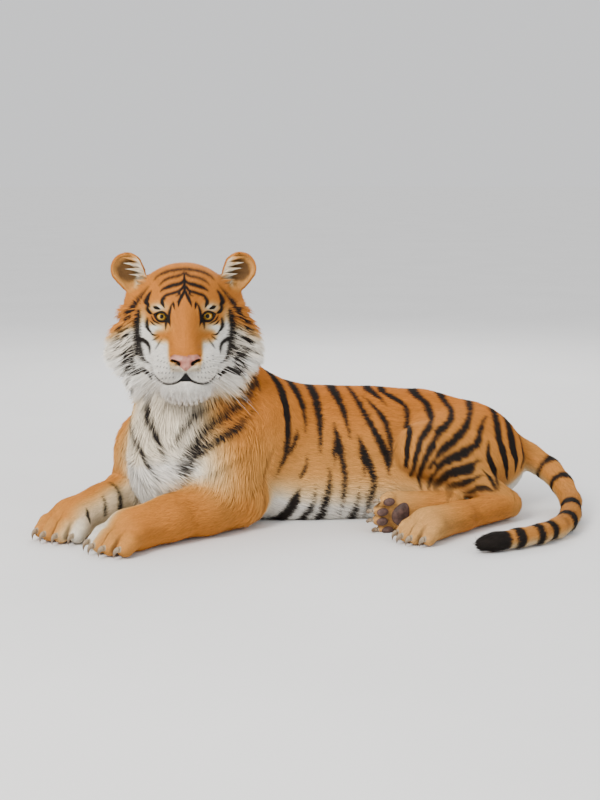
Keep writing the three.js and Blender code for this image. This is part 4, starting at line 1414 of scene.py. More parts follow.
def rooted(count, density, rng):
    """Places spread over the skin, more of them where the density is higher."""
    body = skin()
    a, b, c = (body.triangles[:, i] for i in range(3))
    p = body.points
    area = np.linalg.norm(np.cross(p[b] - p[a], p[c] - p[a]), axis=1)
    weight = area * (density[a] + density[b] + density[c])
    ends = np.cumsum(weight)
    chosen = np.searchsorted(ends, (np.arange(count) + rng.random(count)) / count * ends[-1])
    chosen = np.minimum(chosen, len(a) - 1)
    r, s = np.sqrt(rng.random(count)), rng.random(count)
    share_of = np.stack([1 - r, r * (1 - s), r * s], axis=1)
    corners = body.triangles[chosen]
    roots = np.einsum("ij,ijk->ik", share_of, p[corners])
    normals = unit_rows(np.einsum("ij,ijk->ik", share_of, body.normals[corners]))
    return roots, normals


def grown(count, density, rng, spread=0.16, longer=1.0):
    """Tufts rooted on the skin, each lying along it the way the hair lies there."""
    roots, normals = rooted(count, density, rng)
    where = places(roots)
    lie = hair_lie(roots, where)
    lie = unit_rows(lie - normals * (lie * normals).sum(1, keepdims=True))
    across = np.cross(lie, normals)
    wave = value_noise(roots, 38, 11) * 0.22 + rng.normal(0, spread, count)
    lie = unit_rows(lie + across * wave[:, None])
    lengths = coat_length(where) * longer * rng.uniform(0.78, 1.2, count)
    widths = (0.75 + 0.062 * lengths) * rng.uniform(0.8, 1.2, count)
    return Tufts(roots, normals, lie, lengths, widths, where)


def tips_of(tufts, rng, sunk, droop=0.0, proud=0.0):
    """Where the tufts end: at the coat's surface, proud of it by mm or sunk by a share of its depth."""
    depth = coat_depth(tufts.where)
    rise = np.clip(0.8 * depth / tufts.lengths, 0.05, 0.85)
    ahead = tufts.lies * np.sqrt(1 - rise**2)[:, None] + tufts.normals * rise[:, None]
    ahead = unit_rows(ahead - UP * droop)
    tips = tufts.roots + ahead * tufts.lengths[:, None]
    wanted = proud - depth * (rng.uniform(0.02, 0.42, len(depth)) + 0.9 * fold_shade_share(tufts.where) + sunk)
    value, _ = measured(tips)
    move = np.clip(wanted - value, -1.2 * depth, 0.8 * depth + proud)
    tips = tips + tufts.normals * move[:, None]
    tips[:, 2] = np.maximum(tips[:, 2], rng.uniform(0.4, 2.5, len(tips)))
    return tips


# The locks of ruff and beard: how many degrees each is wide, how far its tufts lean to its middle, their
# lengths at its middle and its edge, how proud its tip is, also beside the face, and how sunk its edge.
LOCK = {
    "turn": 9.0, "beard_turn": 5.6, "pull": 0.85, "longer": 1.3, "shorter": 0.5, "proud": 9.0,
    "proud_beside": 26.0, "sunk": 1.0,
}


def locked(tufts, rng):
    """Tufts of the ruff and the beard gathered into pointed locks, how proud each tip is, and how sunk."""
    u, w, n = tufts.where.head
    ring = np.degrees(np.arctan2(w + 40, u))
    width = np.where(beard_share(tufts.where) > 0.5, LOCK["beard_turn"], LOCK["turn"])
    stagger = 0.37 * np.floor(n / 26)
    middle = (np.floor(ring / width + stagger) + 0.5 - stagger) * width
    off = (middle - ring) / (width / 2)
    gathered = share(tufts.where, "head") * smooth(n, -60, -10)
    away = np.stack([np.cos(np.radians(ring)), np.sin(np.radians(ring))], axis=1)
    across = -np.outer(away[:, 1], HEAD.left) + np.outer(away[:, 0], HEAD.top)
    reach = np.hypot(u, w + 40) * np.radians(width) / 2
    lean = off * reach * LOCK["pull"] / tufts.lengths
    lies = unit_rows(tufts.lies + across * (lean * gathered)[:, None])
    lies = unit_rows(lies - tufts.normals * (lies * tufts.normals).sum(1, keepdims=True))
    size = LOCK["longer"] - (LOCK["longer"] - LOCK["shorter"]) * np.abs(off)
    lengths = tufts.lengths * (1 + gathered * (size - 1))
    beside = smooth(np.abs(u), 125, 150) * smooth(w, -20, 30) * smooth(92 - w, 0, 50)
    stand = LOCK["proud"] + (LOCK["proud_beside"] - LOCK["proud"]) * beside
    proud = gathered * stand * np.maximum(1 - 1.6 * np.abs(off), 0) * rng.uniform(0.7, 1.1, len(off))
    return tufts._replace(lies=lies, lengths=lengths), proud, gathered * LOCK["sunk"] * np.abs(off)


def hair_shades(rng, count):
    """A little lighter or darker for each tuft."""
    return rng.normal(0, 0.08, count)


# A tuft: how deep its root is sunk, its ridge's share of its width, its sides' lean, and its width and
# its bulge half way if it's bent.
TUFT = {"sunk": 0.8, "ridge": 0.34, "lean": 0.55, "thin": 0.72, "bulge": 0.18}
STRAIGHT_FACES = ((0, 3, 1), (1, 3, 2), (2, 3, 0), (0, 1, 2))
BENT_FACES = (
    (0, 3, 4), (0, 4, 1), (1, 4, 5), (1, 5, 2), (2, 5, 3), (2, 3, 0), (3, 6, 4), (4, 6, 5), (5, 6, 3),
    (0, 1, 2),
)


def root_corners(tufts):
    """The three corners of each tuft's root, their normals, and half the tuft's width and its ridge."""
    side = np.cross(tufts.lies, tufts.normals)
    half = side * (tufts.widths / 2)[:, None]
    ridge = tufts.normals * (tufts.widths * TUFT["ridge"])[:, None]
    sunk = tufts.normals * TUFT["sunk"]
    corners = [tufts.roots - half - sunk, tufts.roots + half - sunk, tufts.roots + ridge]
    leaning = [unit_rows(tufts.normals + turn * TUFT["lean"] * side) for turn in SIDES]
    return corners, [*leaning, tufts.normals], half, ridge


def straight_tufts(tufts, rng):
    """Points, triangles, normals and shares of length for tufts that are one straight spike."""
    tips = tips_of(tufts, rng, 0.4 * np.maximum(ruff_share(tufts.where), beard_share(tufts.where)))
    corners, normals, _, _ = root_corners(tufts)
    return joined_tufts([*corners, tips], [*normals, tufts.normals], STRAIGHT_FACES, (0, 0, 0, 1))


def bent_tufts(tufts, tips):
    """The same for long tufts, that bend half way."""
    bulge = TUFT["bulge"] * coat_depth(tufts.where)
    middles = (tufts.roots + tips) / 2 + tufts.normals * bulge[:, None]
    middles[:, 2] = np.maximum(middles[:, 2], 1.2)
    corners, normals, half, ridge = root_corners(tufts)
    corners += [middles + offset * TUFT["thin"] for offset in (-half, half, ridge)]
    normals = [*normals, *normals, tufts.normals]
    return joined_tufts([*corners, tips], normals, BENT_FACES, (0, 0, 0, 0.5, 0.5, 0.5, 1))


def joined_tufts(corners, normals, faces, along):
    """The tufts in one mesh: points, triangles, normals, shares of length, and how many points each has."""
    count, each = len(corners[0]), len(corners)
    points = np.stack(corners, axis=1).reshape(-1, 3)
    points[:, 2] = np.maximum(points[:, 2], 0.3)
    triangles = (np.arange(count)[:, None, None] * each + np.array(faces)).reshape(-1, 3)
    return points, triangles, np.stack(normals, axis=1).reshape(-1, 3), np.tile(along, count), each


def coat_piece(name, tufts, shaped, shades, charts):
    """Adds one piece of the coat: its mesh, with each tuft's colour, normals and spot on the unwrap."""
    points, triangles, normals, along, each = shaped
    starts, ends = points[::each], points[each - 1 :: each]
    spots = [places(starts * (1 - t) + ends * t) for t in (0.35, 0.8)]
    darks = [dark_share(spot) for spot in spots]
    whole = whole_share(tufts.where) * np.maximum(*darks)
    inner, outer = (coat_colour(s, shades, np.maximum(dark, whole)) for s, dark in zip(spots, darks))
    along = along[:, None]
    colours = np.repeat(inner, each, axis=0) * (1 - along) + np.repeat(outer, each, axis=0) * along
    # Painted shade: each tuft is darker toward its root and a little lighter at its tip.
    colours = np.clip(colours * (0.80 + 0.26 * along), 0, 1)
    piece = mesh_piece(name, points, triangles, [coat_material()], colours)
    patches = np.repeat(charted(tufts.where, charts), each, axis=0)
    set_uv(piece.data, patches + np.tile(TUFT_PATCHES[each], (len(tufts.roots), 1)) * PATCH)
    piece.data.normals_split_custom_set_from_vertices(normals.astype(np.float32))


def selected(tufts, mine):
    """The tufts of some rows, with their places."""
    def rows(columns):
        return tuple(column[mine] for column in columns)

    where = tufts.where
    legs = {name: rows(columns) for name, columns in where.legs.items()}
    picked = Places(
        *rows(where[:3]), rows(where.trunk), rows(where.chest), rows(where.tail), legs, rows(where.head)
    )
    return Tufts(*rows(tufts[:5]), picked)


# ---------------------------------------------------------------------------------------- materials
def new_material(name, roughness, specular):
    """A material and its shader node, or the one of that name if it's there, with None."""
    found = bpy.data.materials.get(name)
    if found:
        return found, None
    found = bpy.data.materials.new(name)
    found.use_nodes = True
    shader = found.node_tree.nodes["Principled BSDF"]
    shader.inputs["Roughness"].default_value = roughness
    shader.inputs["Specular IOR Level"].default_value = specular
    return found, shader


def node(material, kind, **settings):
    """A node of a kind, with its own settings and the default values of its inputs."""
    made = material.node_tree.nodes.new(kind)
    for name, value in settings.items():
        if name in made.bl_rna.properties:
            setattr(made, name, value)
        else:
            made.inputs[name.replace("_", " ")].default_value = value
    return made


def link(material, source, output, target, socket):
    material.node_tree.links.new(source.outputs[output], target.inputs[socket])


def bumped(material, shader, height_node, output, strength, distance):
    """Gives the material a bump of a height in metres."""
    bump = node(material, "ShaderNodeBump", Strength=strength, Distance=distance)
    link(material, height_node, output, bump, "Height")
    link(material, bump, "Normal", shader, "Normal")


def mottled(material, shader, first, second, scale, low=0.35, high=0.65):
    """Colours the material with two colours in soft patches."""
    place = node(material, "ShaderNodeTexCoord")
    noise = node(material, "ShaderNodeTexNoise", Scale=scale, Detail=3.0)
    ramp = node(material, "ShaderNodeValToRGB")
    link(material, place, "Object", noise, "Vector")
    link(material, noise, "Fac", ramp, "Fac")
    ends = ramp.color_ramp.elements
    ends[0].position, ends[1].position = low, high
    ends[0].color, ends[1].color = (*first, 1), (*second, 1)
    link(material, ramp, "Color", shader, "Base Color")
    return noise


def tinted(material, shader, place, output, scale, detail, low, high):
    """Colours the material with its points' own colours, made uneven by a noise, which it gives back."""
    colour = node(material, "ShaderNodeAttribute", attribute_name="Coat")
    noise = node(material, "ShaderNodeTexNoise", Scale=scale, Detail=detail)
    level = node(material, "ShaderNodeMapRange", To_Min=low, To_Max=high)
    mixed = node(material, "ShaderNodeVectorMath", operation="MULTIPLY")
    link(material, place, output, noise, "Vector")
    link(material, noise, "Fac", level, "Value")
    link(material, colour, "Color", mixed, 0)
    link(material, level, "Result", mixed, 1)
    link(material, mixed, "Vector", shader, "Base Color")
    return noise


def coat_material():
    """Hair: the colour of each tuft, a little uneven."""
    found, shader = new_material("Coat", 0.68, 0.13)
    if shader:
        place = node(found, "ShaderNodeTexCoord")
        tinted(found, shader, place, "Object", 420.0, 2.0, 0.86, 1.12)
    return found


def hide_material():
    """The skin under the hair: the markings, combed by a fine bump along the hair's lie."""
    found, shader = new_material("Hide", 0.75, 0.15)
    if shader:
        comb = node(found, "ShaderNodeAttribute", attribute_name="Comb")
        noise = tinted(found, shader, comb, "Vector", 1.0, 3.0, 0.7, 1.0)
        bumped(found, shader, noise, "Fac", 0.5, 0.0012)
    return found


def leather_material():
    """The nose: warm pink, with brown freckles and a grain of fine cells."""
    found, shader = new_material("NoseLeather", 0.42, 0.4)
    if shader:
        mottled(found, shader, (0.30, 0.105, 0.075), (0.47, 0.215, 0.165), 60.0)
        place = node(found, "ShaderNodeTexCoord")
        cells = node(found, "ShaderNodeTexVoronoi", Scale=620.0)
        link(found, place, "Object", cells, "Vector")
        bumped(found, shader, cells, "Distance", 0.35, 0.0006)
    return found


def rim_and_shade_material():
    """The lids' edges and the lips, near black and a little moist, and the painted shade in the mouth's gap
    and the nostrils.
    """
    found, shader = new_material("DarkRimAndShade", 0.34, 0.45)
    if shader:
        noise = mottled(found, shader, (0.010, 0.007, 0.006), (0.022, 0.015, 0.013), 150.0)
        bumped(found, shader, noise, "Fac", 0.2, 0.0004)
    return found


def eye_material():
    """The eye: its own rings of colour under a clear, wet coat."""
    found, shader = new_material("Eye", 0.35, 0.12)
    if shader:
        shader.inputs["Coat Weight"].default_value = 0.4
        shader.inputs["Coat Roughness"].default_value = 0.02
        place = node(found, "ShaderNodeTexCoord")
        tinted(found, shader, place, "Object", 900.0, 1.0, 0.9, 1.08)
    return found


def claw_material():
    """Horn: pale at the root and brown toward the tip, with fine lengthwise lines."""
    found, shader = new_material("Claw", 0.34, 0.45)
    if shader:
        colour = node(found, "ShaderNodeAttribute", attribute_name="Coat")
        place = node(found, "ShaderNodeTexCoord")
        noise = node(found, "ShaderNodeTexNoise", Scale=300.0, Detail=2.0)
        link(found, place, "Object", noise, "Vector")
        link(found, colour, "Color", shader, "Base Color")
        bumped(found, shader, noise, "Fac", 0.15, 0.0003)
    return found


def pad_material():
    """The soles: dark and rough, with a coarse grain."""
    found, shader = new_material("SolePad", 0.6, 0.3)
    if shader:
        noise = mottled(found, shader, (0.05, 0.028, 0.022), (0.12, 0.065, 0.052), 90.0)
        bumped(found, shader, noise, "Fac", 0.5, 0.0009)
    return found


def whisker_material():
    """Whiskers: off-white."""
    found, shader = new_material("Whisker", 0.35, 0.4)
    if shader:
        mottled(found, shader, (0.70, 0.67, 0.60), (0.86, 0.84, 0.79), 200.0)
    return found


def floor_material():
    """The floor: pale and even."""
    found, shader = new_material("Floor", 0.85, 0.15)
    if shader:
        mottled(found, shader, (0.79, 0.79, 0.785), (0.82, 0.82, 0.815), 1.6, 0.3, 0.7)
    return found


# -------------------------------------------------------------------------------------------- parts
def skin_piece():
    """The skin, with its leather, and its dark rims with the painted shade of the mouth and the nostrils, as
    materials of their own.
    """
    body = skin()
    shades = 0.03 * value_noise(body.points, 14, 21)
    colours = coat_colour(body.where, shades, dark_share(body.where)) * 0.86
    materials = [hide_material(), leather_material(), rim_and_shade_material()]
    piece = mesh_piece("Skin", body.points, body.triangles, materials, colours)
    a, w, n = on_head(body.where)
    head = share(body.where, "head") > 0.4
    leather = leather_share(body.where) > 0.5
    lid = (eye_opening(a, w) < 2.4) & (n > 80)
    line, along = curve_distance(rounded(MOUTH_LINE), a, w)
    lip = (line < 3.2 - 1.2 * along) & (n > 90) & (a < 78)
    under_lip = w - MOUTH_GAP["top"] + a * MOUTH_GAP["slope"] < 1
    mouth = under_lip & (w > MOUTH_GAP["foot"]) & (a < 24) & (n > 120)
    from_nostril, _ = curve_distance(NOSTRIL_LINE, a, w)
    nostril_shade = (from_nostril < 4.2) & (n > 170)
    # The mouth's gap and the nostrils take the dark rims' material as painted shade.
    kind = np.where(lid | lip | mouth | nostril_shade, 2, np.where(leather, 1, 0)) * head
    chosen = np.sort(kind[body.triangles], axis=1)[:, 1]
    piece.data.polygons.foreach_set("material_index", chosen.astype(np.int32))
    comb = piece.data.attributes.new("Comb", "FLOAT_VECTOR", "POINT")
    comb.data.foreach_set("vector", comb_places(body.where).astype(np.float32).ravel())
    return piece


def nodes_of(*prefixes):
    """The names of the frame's nodes that start in one of these ways."""
    return [name for name in sorted(frame["nodes"]) if name.startswith(prefixes)]


def flesh_nodes():
    """The names of the nodes that the skin stands for."""
    kept_apart = nodes_of("eye_", "claw_", "pad_")
    return [name for name in sorted(frame["nodes"]) if name not in kept_apart]


def head_place(where):
    """1 on the head, its ruff and its ears."""
    return np.clip(share(where, "head") + share(where, "ears"), 0, 1)


def long_share(where):
    """1 where the head's hair is long: ruff, chin and throat."""
    a, w, n = on_head(where)
    ruff = smooth(a, 112, 150) * smooth(106 - w, 0, 70) * smooth(-n, -75, -40)
    ruff = np.maximum(ruff, smooth(-w, 118, 150) * smooth(-n, -70, -30)) * (0.3 + 0.7 * smooth(n, -70, -30))
    beard = 1.3 * smooth(-w, 150, 176) * smooth(n, 70, 100)
    return np.maximum(ruff, beard) * share(where, "head")


def fringe_share(where):
    """1 where the body's hair is long: the chest, the belly's sides and the tail's tip."""
    along, angle = where.trunk
    turn, _ = where.chest
    chest = smooth(-along, 380, 470) * smooth(90 - np.abs(turn), 0, 30)
    belly = smooth(np.abs(angle), 96, 118) * smooth(along, -250, -200) * smooth(250 - along, 0, 60)
    tail = smooth(where.tail[0] - TAIL_LENGTH, -90, -60) * 0.6
    return by_share(where, {"core": np.maximum(chest, belly), "tail": tail})


def ear_fringe_share(where):
    """1 on the inner side of each ear, where long hair grows across its hollow."""
    a, w, n = on_head(where)
    inner = smooth(142 - a, 0, 8) * smooth(w, 106, 116) * smooth(n, -4, 4)
    return inner * np.clip(share(where, "ears") + 0.5 * share(where, "head"), 0, 1) * (a > 100)


def tuft_density(where):
    """How many tufts of the short coat each place has, none where no hair grows."""
    length = coat_length(where)
    return (1 - bare_share(where)) / (length * (0.75 + 0.062 * length))


def layered_coat(name, seed, density, layers, each, spread, charts):
    """Adds a short coat in layers, each with tufts all over."""
    rng = np.random.default_rng(seed)
    tufts = grown(layers * each, density, rng, spread)
    shades = hair_shades(rng, layers * each)
    for layer in range(layers):
        mine = np.arange(layer, layers * each, layers)
        part = selected(tufts, mine)
        coat_piece(f"{name}{layer + 1}", part, straight_tufts(part, rng), shades[mine], charts)


def body_coat(layers, each):
    where = skin().where
    density = tuft_density(where) * (1 - 0.92 * head_place(where))
    layered_coat("CoatBody", SEED, density, layers, each, 0.16, BODY_CHARTS)


def head_coat(layers, each):
    where = skin().where
    density = tuft_density(where) * head_place(where)
    layered_coat("CoatHead", SEED + 1, density, layers, each, 0.1, HEAD_CHARTS)


def ruff_coat(count):
    rng = np.random.default_rng(SEED + 2)
    where = skin().where
    tufts = grown(count, long_share(where) * (1 - bare_share(where)), rng, spread=0.12, longer=1.35)
    tufts, proud, sunk = locked(tufts, rng)
    tips = tips_of(tufts, rng, sunk, 0.22, proud)
    coat_piece("CoatRuff", tufts, bent_tufts(tufts, tips), hair_shades(rng, count), HEAD_CHARTS)


def fringe_coat(count):
    rng = np.random.default_rng(SEED + 4)
    where = skin().where
    tufts = grown(count, fringe_share(where) * (1 - bare_share(where)), rng, spread=0.14, longer=1.45)
    tips = tips_of(tufts, rng, 0.0, 0.22)
    coat_piece("CoatFringe", tufts, bent_tufts(tufts, tips), hair_shades(rng, count), BODY_CHARTS)


# The locks in the ears: how far apart, how long and how high their tips are, and a tuft's width.
EAR_LOCK = {"pitch": 16.0, "length": 42.0, "rise": 7.0, "ahead": 15.0, "width": 3.2}


def ear_coat(count):
    """Long hair in rows of pointed locks that reach across each ear's hollow."""
    rng = np.random.default_rng(SEED + 5)
    tufts = grown(count, ear_fringe_share(skin().where), rng)
    u, w, _ = tufts.where.head
    off = (w / EAR_LOCK["pitch"] % 1 - 0.5) * 2
    reach = EAR_LOCK["length"] * (1.15 - 0.65 * np.abs(off)) * rng.uniform(0.7, 1.05, count)
    edge = EAR["side"] + 12 - 0.8 * np.maximum(EAR["up"] - w, 0)
    side = np.sign(u) * np.minimum(np.abs(u) + reach, edge)
    high = w - off * EAR_LOCK["pitch"] * 0.42 + EAR_LOCK["rise"]
    far = EAR_LOCK["ahead"] + rng.uniform(-4, 3, count)
    tips = HEAD.origin + np.outer(side, HEAD.left) + np.outer(high, HEAD.top) + np.outer(far, HEAD.ahead)
    tufts = tufts._replace(widths=EAR_LOCK["width"] * rng.uniform(0.7, 1.1, count))
    coat_piece("CoatEars", tufts, bent_tufts(tufts, tips), hair_shades(rng, count), HEAD_CHARTS)


def tube(path, radii, sides, flat=1.0, across=UP):
    """A closed tube along a path, with a radius at each point of it: points and triangles."""
    path = np.asarray(path, float)
    directions = unit_rows(np.gradient(path, axis=0))
    left = unit_rows(np.cross(np.tile(across, (len(path), 1)), directions))
    top = np.cross(directions, left)
    turns = np.arange(sides) / sides * math.tau
    ring = np.cos(turns)[None, :, None] * left[:, None] * flat + np.sin(turns)[None, :, None] * top[:, None]
    points = (path[:, None] + ring * np.asarray(radii)[:, None, None]).reshape(-1, 3)
    triangles = []
    for i in range(len(path) - 1):
        for j in range(sides):
            a, b = i * sides + j, i * sides + (j + 1) % sides
            triangles += [(a, b, b + sides), (a, b + sides, a + sides)]
    for j in range(1, sides - 1):
        triangles.append((0, j + 1, j))
        last = (len(path) - 1) * sides
        triangles.append((last, last + j, last + j + 1))
    return points, np.array(triangles)


def merged(parts):
    """One list of points and one of triangles from many."""
    points, triangles, before = [], [], 0
    for p, t in parts:
        points.append(p)
        triangles.append(t + before)
        before += len(p)
    return np.concatenate(points), np.concatenate(triangles)


def bezier(a, b, c, count):
    """Points on the curve from a to c that b bends."""
    t = np.linspace(0, 1, count)[:, None]
    return (1 - t) ** 2 * a + 2 * t * (1 - t) * b + t * t * c


def face_point(u, w):
    """The place on the skin straight behind a spot of the face seen from ahead."""
    far = np.arange(245, 70, -1.0)
    line = HEAD.origin + HEAD.left * u + HEAD.top * w + np.outer(far, HEAD.ahead)
    inside = skin_field(line) < 0
    return line[np.argmax(inside)]


WHISKER = {"thick": 0.62, "thin": 0.12, "points": 9, "sides": 5}


def whisker_piece():
    """Adds the whiskers, that droop more from row to row."""
    rng = np.random.default_rng(SEED + 3)
    parts = []
    for side in SIDES:
        for row, (start, end, count) in enumerate(WHISKER_ROWS):
            for t in np.linspace(0, 0.75, max(count - 2, 1)):
                a, w = start[0] + (end[0] - start[0]) * t, start[1] + (end[1] - start[1]) * t
                root = face_point(a * side, w)
                length = rng.uniform(80, 150) * (1 - 0.35 * t)
                out = side * rng.uniform(0.85, 1.0)
                drop = -0.12 - 0.13 * row + rng.uniform(-0.08, 0.08)
                ahead = 0.35 * t + 0.1
                lean = HEAD.left * out + HEAD.top * (drop + 0.12) + HEAD.ahead * ahead
                middle = root + lean * length * 0.5
                tip = root + (HEAD.left * out * 0.95 + HEAD.top * drop * 1.35 - HEAD.ahead * 0.22) * length
                path = bezier(root - HEAD.ahead * 3, middle, tip, WHISKER["points"])
                radii = np.linspace(WHISKER["thick"], WHISKER["thin"], WHISKER["points"])
                parts.append(tube(path, radii, WHISKER["sides"]))
    points, triangles = merged(parts)
    piece = mesh_piece("Whiskers", points, triangles, [whisker_material()])


def ball_angles(tilts, turns):
    """The tilt and turn of each point of a ball, that has a ring at each tilt and a point at each end."""
    tilt, turn = np.meshgrid(tilts, np.arange(turns) / turns * math.tau, indexing="ij")
    return np.concatenate([[0], tilt.ravel(), [math.pi]]), np.concatenate([[0], turn.ravel(), [0]])


def ball_triangles(rings, turns):
    """The triangles of such a ball."""
    last = rings * turns + 1
    base = last - turns
    triangles = []
    for j in range(turns):
        after = (j + 1) % turns
        triangles.append((0, 1 + j, 1 + after))
        for i in range(rings - 1):
            a, b = 1 + i * turns + j, 1 + i * turns + after
            triangles += [(a, a + turns, b + turns), (a, b + turns, b)]
        triangles.append((last, base + after, base + j))
    return np.array(triangles)


# Degrees from the middle of the pupil to each ring of points, closest at the pupil's and the iris's edge.
EYE_RINGS = (
    5, 9, 12, 13.6, 14.2, 14.8, 16, 19, 22, 25, 28, 31, 34, 36, 38, 40, 41.5, 43, 45, 48, 54, 62, 75, 90,
    110, 135, 160,
)
EYE_TURNS = 96


def eye_piece(name, side, look_at):
    """One eye: a ball with a bulging cornea, coloured in rings round its gaze."""
    centre = at(HEAD, side * EYE["side"], EYE["up"], EYE["ahead"])
    f = frame_at(centre, look_at - centre)
    ring, turn = ball_angles(np.radians(EYE_RINGS), EYE_TURNS)
    bulge = 1.5 * smooth(-np.degrees(ring), -44, -20)
    radius = EYE["radius"] - 0.9 + bulge
    out = np.outer(np.sin(ring) * np.cos(turn), f.left) + np.outer(np.sin(ring) * np.sin(turn), f.top)
    points = centre + (out + np.outer(np.cos(ring), f.ahead)) * radius[:, None]
    triangles = ball_triangles(len(EYE_RINGS), EYE_TURNS)
    colours = eye_colours(np.degrees(ring), turn, side)
    piece = mesh_piece(name, points, triangles, [eye_material()], colours)
    return piece


def eye_colours(ring, turn, side):
    """The pupil, the streaked iris, its dark rim and the white beyond it."""
    look = bpy.context.scene.tiger_eyes
    pupil, limbus = look.pupil, look.iris
    streaks = 0.5 + 0.5 * np.sin(turn * 37 + 3 * np.sin(turn * 11 + side)) * np.sin(turn * 23 + 1.7)
    inner, outer = np.array(look.inner_iris), np.array(look.outer_iris)
    t = smooth(ring, pupil, limbus)[:, None]
    iris = (inner * (1 - t) + outer * t) * (0.75 + 0.45 * streaks)[:, None]
    dark = np.array((0.006, 0.005, 0.004))
    white = np.array((0.16, 0.10, 0.075))
    kept = smooth(limbus + 1 - ring, 0, 5)[:, None]
    iris = iris * kept + dark * smooth(ring, limbus - 4, limbus + 1)[:, None]
    beyond = smooth(ring, limbus + 3, limbus + 9)[:, None]
    colour = iris * (1 - beyond) + white * beyond
    inside = smooth(pupil + 0.5 - ring, -0.3, 0.3)[:, None]
    return colour * (1 - inside) + dark * inside


CLAW = {"radius": 8.8, "rings": 12, "sides": 12, "flat": 0.66}
CLAW_COLOURS = {"root": (0.46, 0.35, 0.22), "tip": (0.10, 0.06, 0.035)}
# Each foot's piece of claws and how the names of its nodes start.
CLAW_PIECES = {
    "foreleg_left": ("ClawsForeLeft", "claw_fore_left"),
    "foreleg_right": ("ClawsForeRight", "claw_fore_right"),
    "hind_left": ("ClawsHindLeft", "claw_hind_left"),
    "hind_right": ("ClawsHindRight", "claw_hind_right"),
}


def claw_parts(f, foot):
    """The claws of one foot, hooked down from above each toe's end."""
    parts = []
    for place in TOES:
        side, toe, end = place * foot["spread"] * 1.05, foot["toe"], toe_end(place)
        root = at(f, side, toe * 1.0, end - 15)
        bend = at(f, side, toe * 1.4, end + 18)
        tip = at(f, side, toe * 0.22, end + 15)
        t = np.linspace(0, 1, CLAW["rings"])
        radii = CLAW["radius"] * np.clip(1 - t**2.2, 0.04, 1)
        path = bezier(root, bend, tip, CLAW["rings"])
        parts.append(tube(path, radii, CLAW["sides"], CLAW["flat"], f.ahead))
    return parts


def on_floor(points):
    """The points, with those that would lie under the floor lifted onto it."""
    return np.column_stack([points[:, :2], np.maximum(points[:, 2], FLOOR_GAP / 2)])


def claw_piece(name, f, foot, nodes):
    """Adds the claws of one foot, browner toward their tips."""
    points, triangles = merged(claw_parts(f, foot))
    t = np.tile(np.repeat(np.linspace(0, 1, CLAW["rings"]), CLAW["sides"]), len(TOES))[:, None]
    colours = np.array(CLAW_COLOURS["root"]) * (1 - t) + np.array(CLAW_COLOURS["tip"]) * t
    piece = mesh_piece(name, on_floor(points), triangles, [claw_material()], colours)
    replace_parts(piece, *nodes)


def oval(centre, radii, f, rows=14, turns=24, lobes=0.0):
    """A closed oval with its radii along a frame, drawn out into three lobes by a share of its size."""
    tilt, turn = ball_angles(np.linspace(0, math.pi, rows + 1)[1:-1], turns)
    x, y, z = np.sin(tilt) * np.cos(turn), np.cos(tilt), np.sin(tilt) * np.sin(turn)
    reach = 1 + lobes * np.cos(3 * (turn - math.pi / 2)) * np.sin(tilt)
    points = centre + np.outer(x * radii[0] * reach, f.left) + np.outer(y * radii[1], f.top)
    points = points + np.outer(z * radii[2] * reach, f.ahead)
    return points, ball_triangles(rows - 1, turns)[:, [0, 2, 1]]


# The sole's pads: their radii, how far they lie behind the toes' ends and the ankle, and their height.
SOLE = {"toe": (12, 9.5, 18), "main": (37, 13, 27), "toe_back": 28, "main_back": 88, "height": 6}


def pad_piece():
    """Adds the pads of the sole that shows."""
    f, foot = FEET["hind_right"]
    parts = []
    for place in TOES:
        centre = at(f, place * foot["spread"] * 1.04, SOLE["height"], toe_end(place) - SOLE["toe_back"])
        parts.append(oval(centre, SOLE["toe"], f))
    main = at(f, 0, SOLE["height"] - 1, -SOLE["main_back"])
    parts.append(oval(main, SOLE["main"], f, 18, 48, 0.10))
    points, triangles = merged(parts)
    piece = mesh_piece("SolePads", on_floor(points), triangles, [pad_material()])
    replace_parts(piece, *nodes_of("pad_"))


FLOOR_SIDES = 96
# Each light: name, kind, place, target, size, power and colour.
LIGHTS = (
    ("Key", "AREA", (3.6, -2.6, 3.4), (0.1, -0.2, 0.25), 1.8, 230, (1.0, 0.96, 0.91)),
    ("Fill", "AREA", (3.4, 2.8, 1.8), (0.1, 0.0, 0.3), 3.0, 40, (0.93, 0.96, 1.0)),
    ("Back", "AREA", (-3.2, 0.6, 3.0), (0.0, 0.0, 0.3), 3.0, 90, (1.0, 0.98, 0.95)),
    ("Soft", "SUN", (3.0, -2.0, 4.0), (0.0, 0.0, 0.0), math.radians(60), 0.9, (1.0, 0.98, 0.96)),
)


def add_light(name, kind, place, target, size, power, colour):
    """Adds a disc of a size in metres, or a sun of a size in radians."""
    data = bpy.data.lights.new(name, kind)
    if kind == "AREA":
        data.shape = "DISK"
        data.size = size
    else:
        data.angle = size
    data.energy = power
    data.color = colour
    light = bpy.data.objects.new(name, data)
    light.location = place
    light.rotation_euler = (Vector(target) - Vector(place)).to_track_quat("-Z", "Y").to_euler()
    bpy.context.scene.collection.objects.link(light)


# ----------------------------------------------------------------------------------------- settings
def colour_setting(name, description, default):
    return FloatVectorProperty(name=name, description=description, default=default, subtype="COLOR", size=3,
                               min=0, max=1)


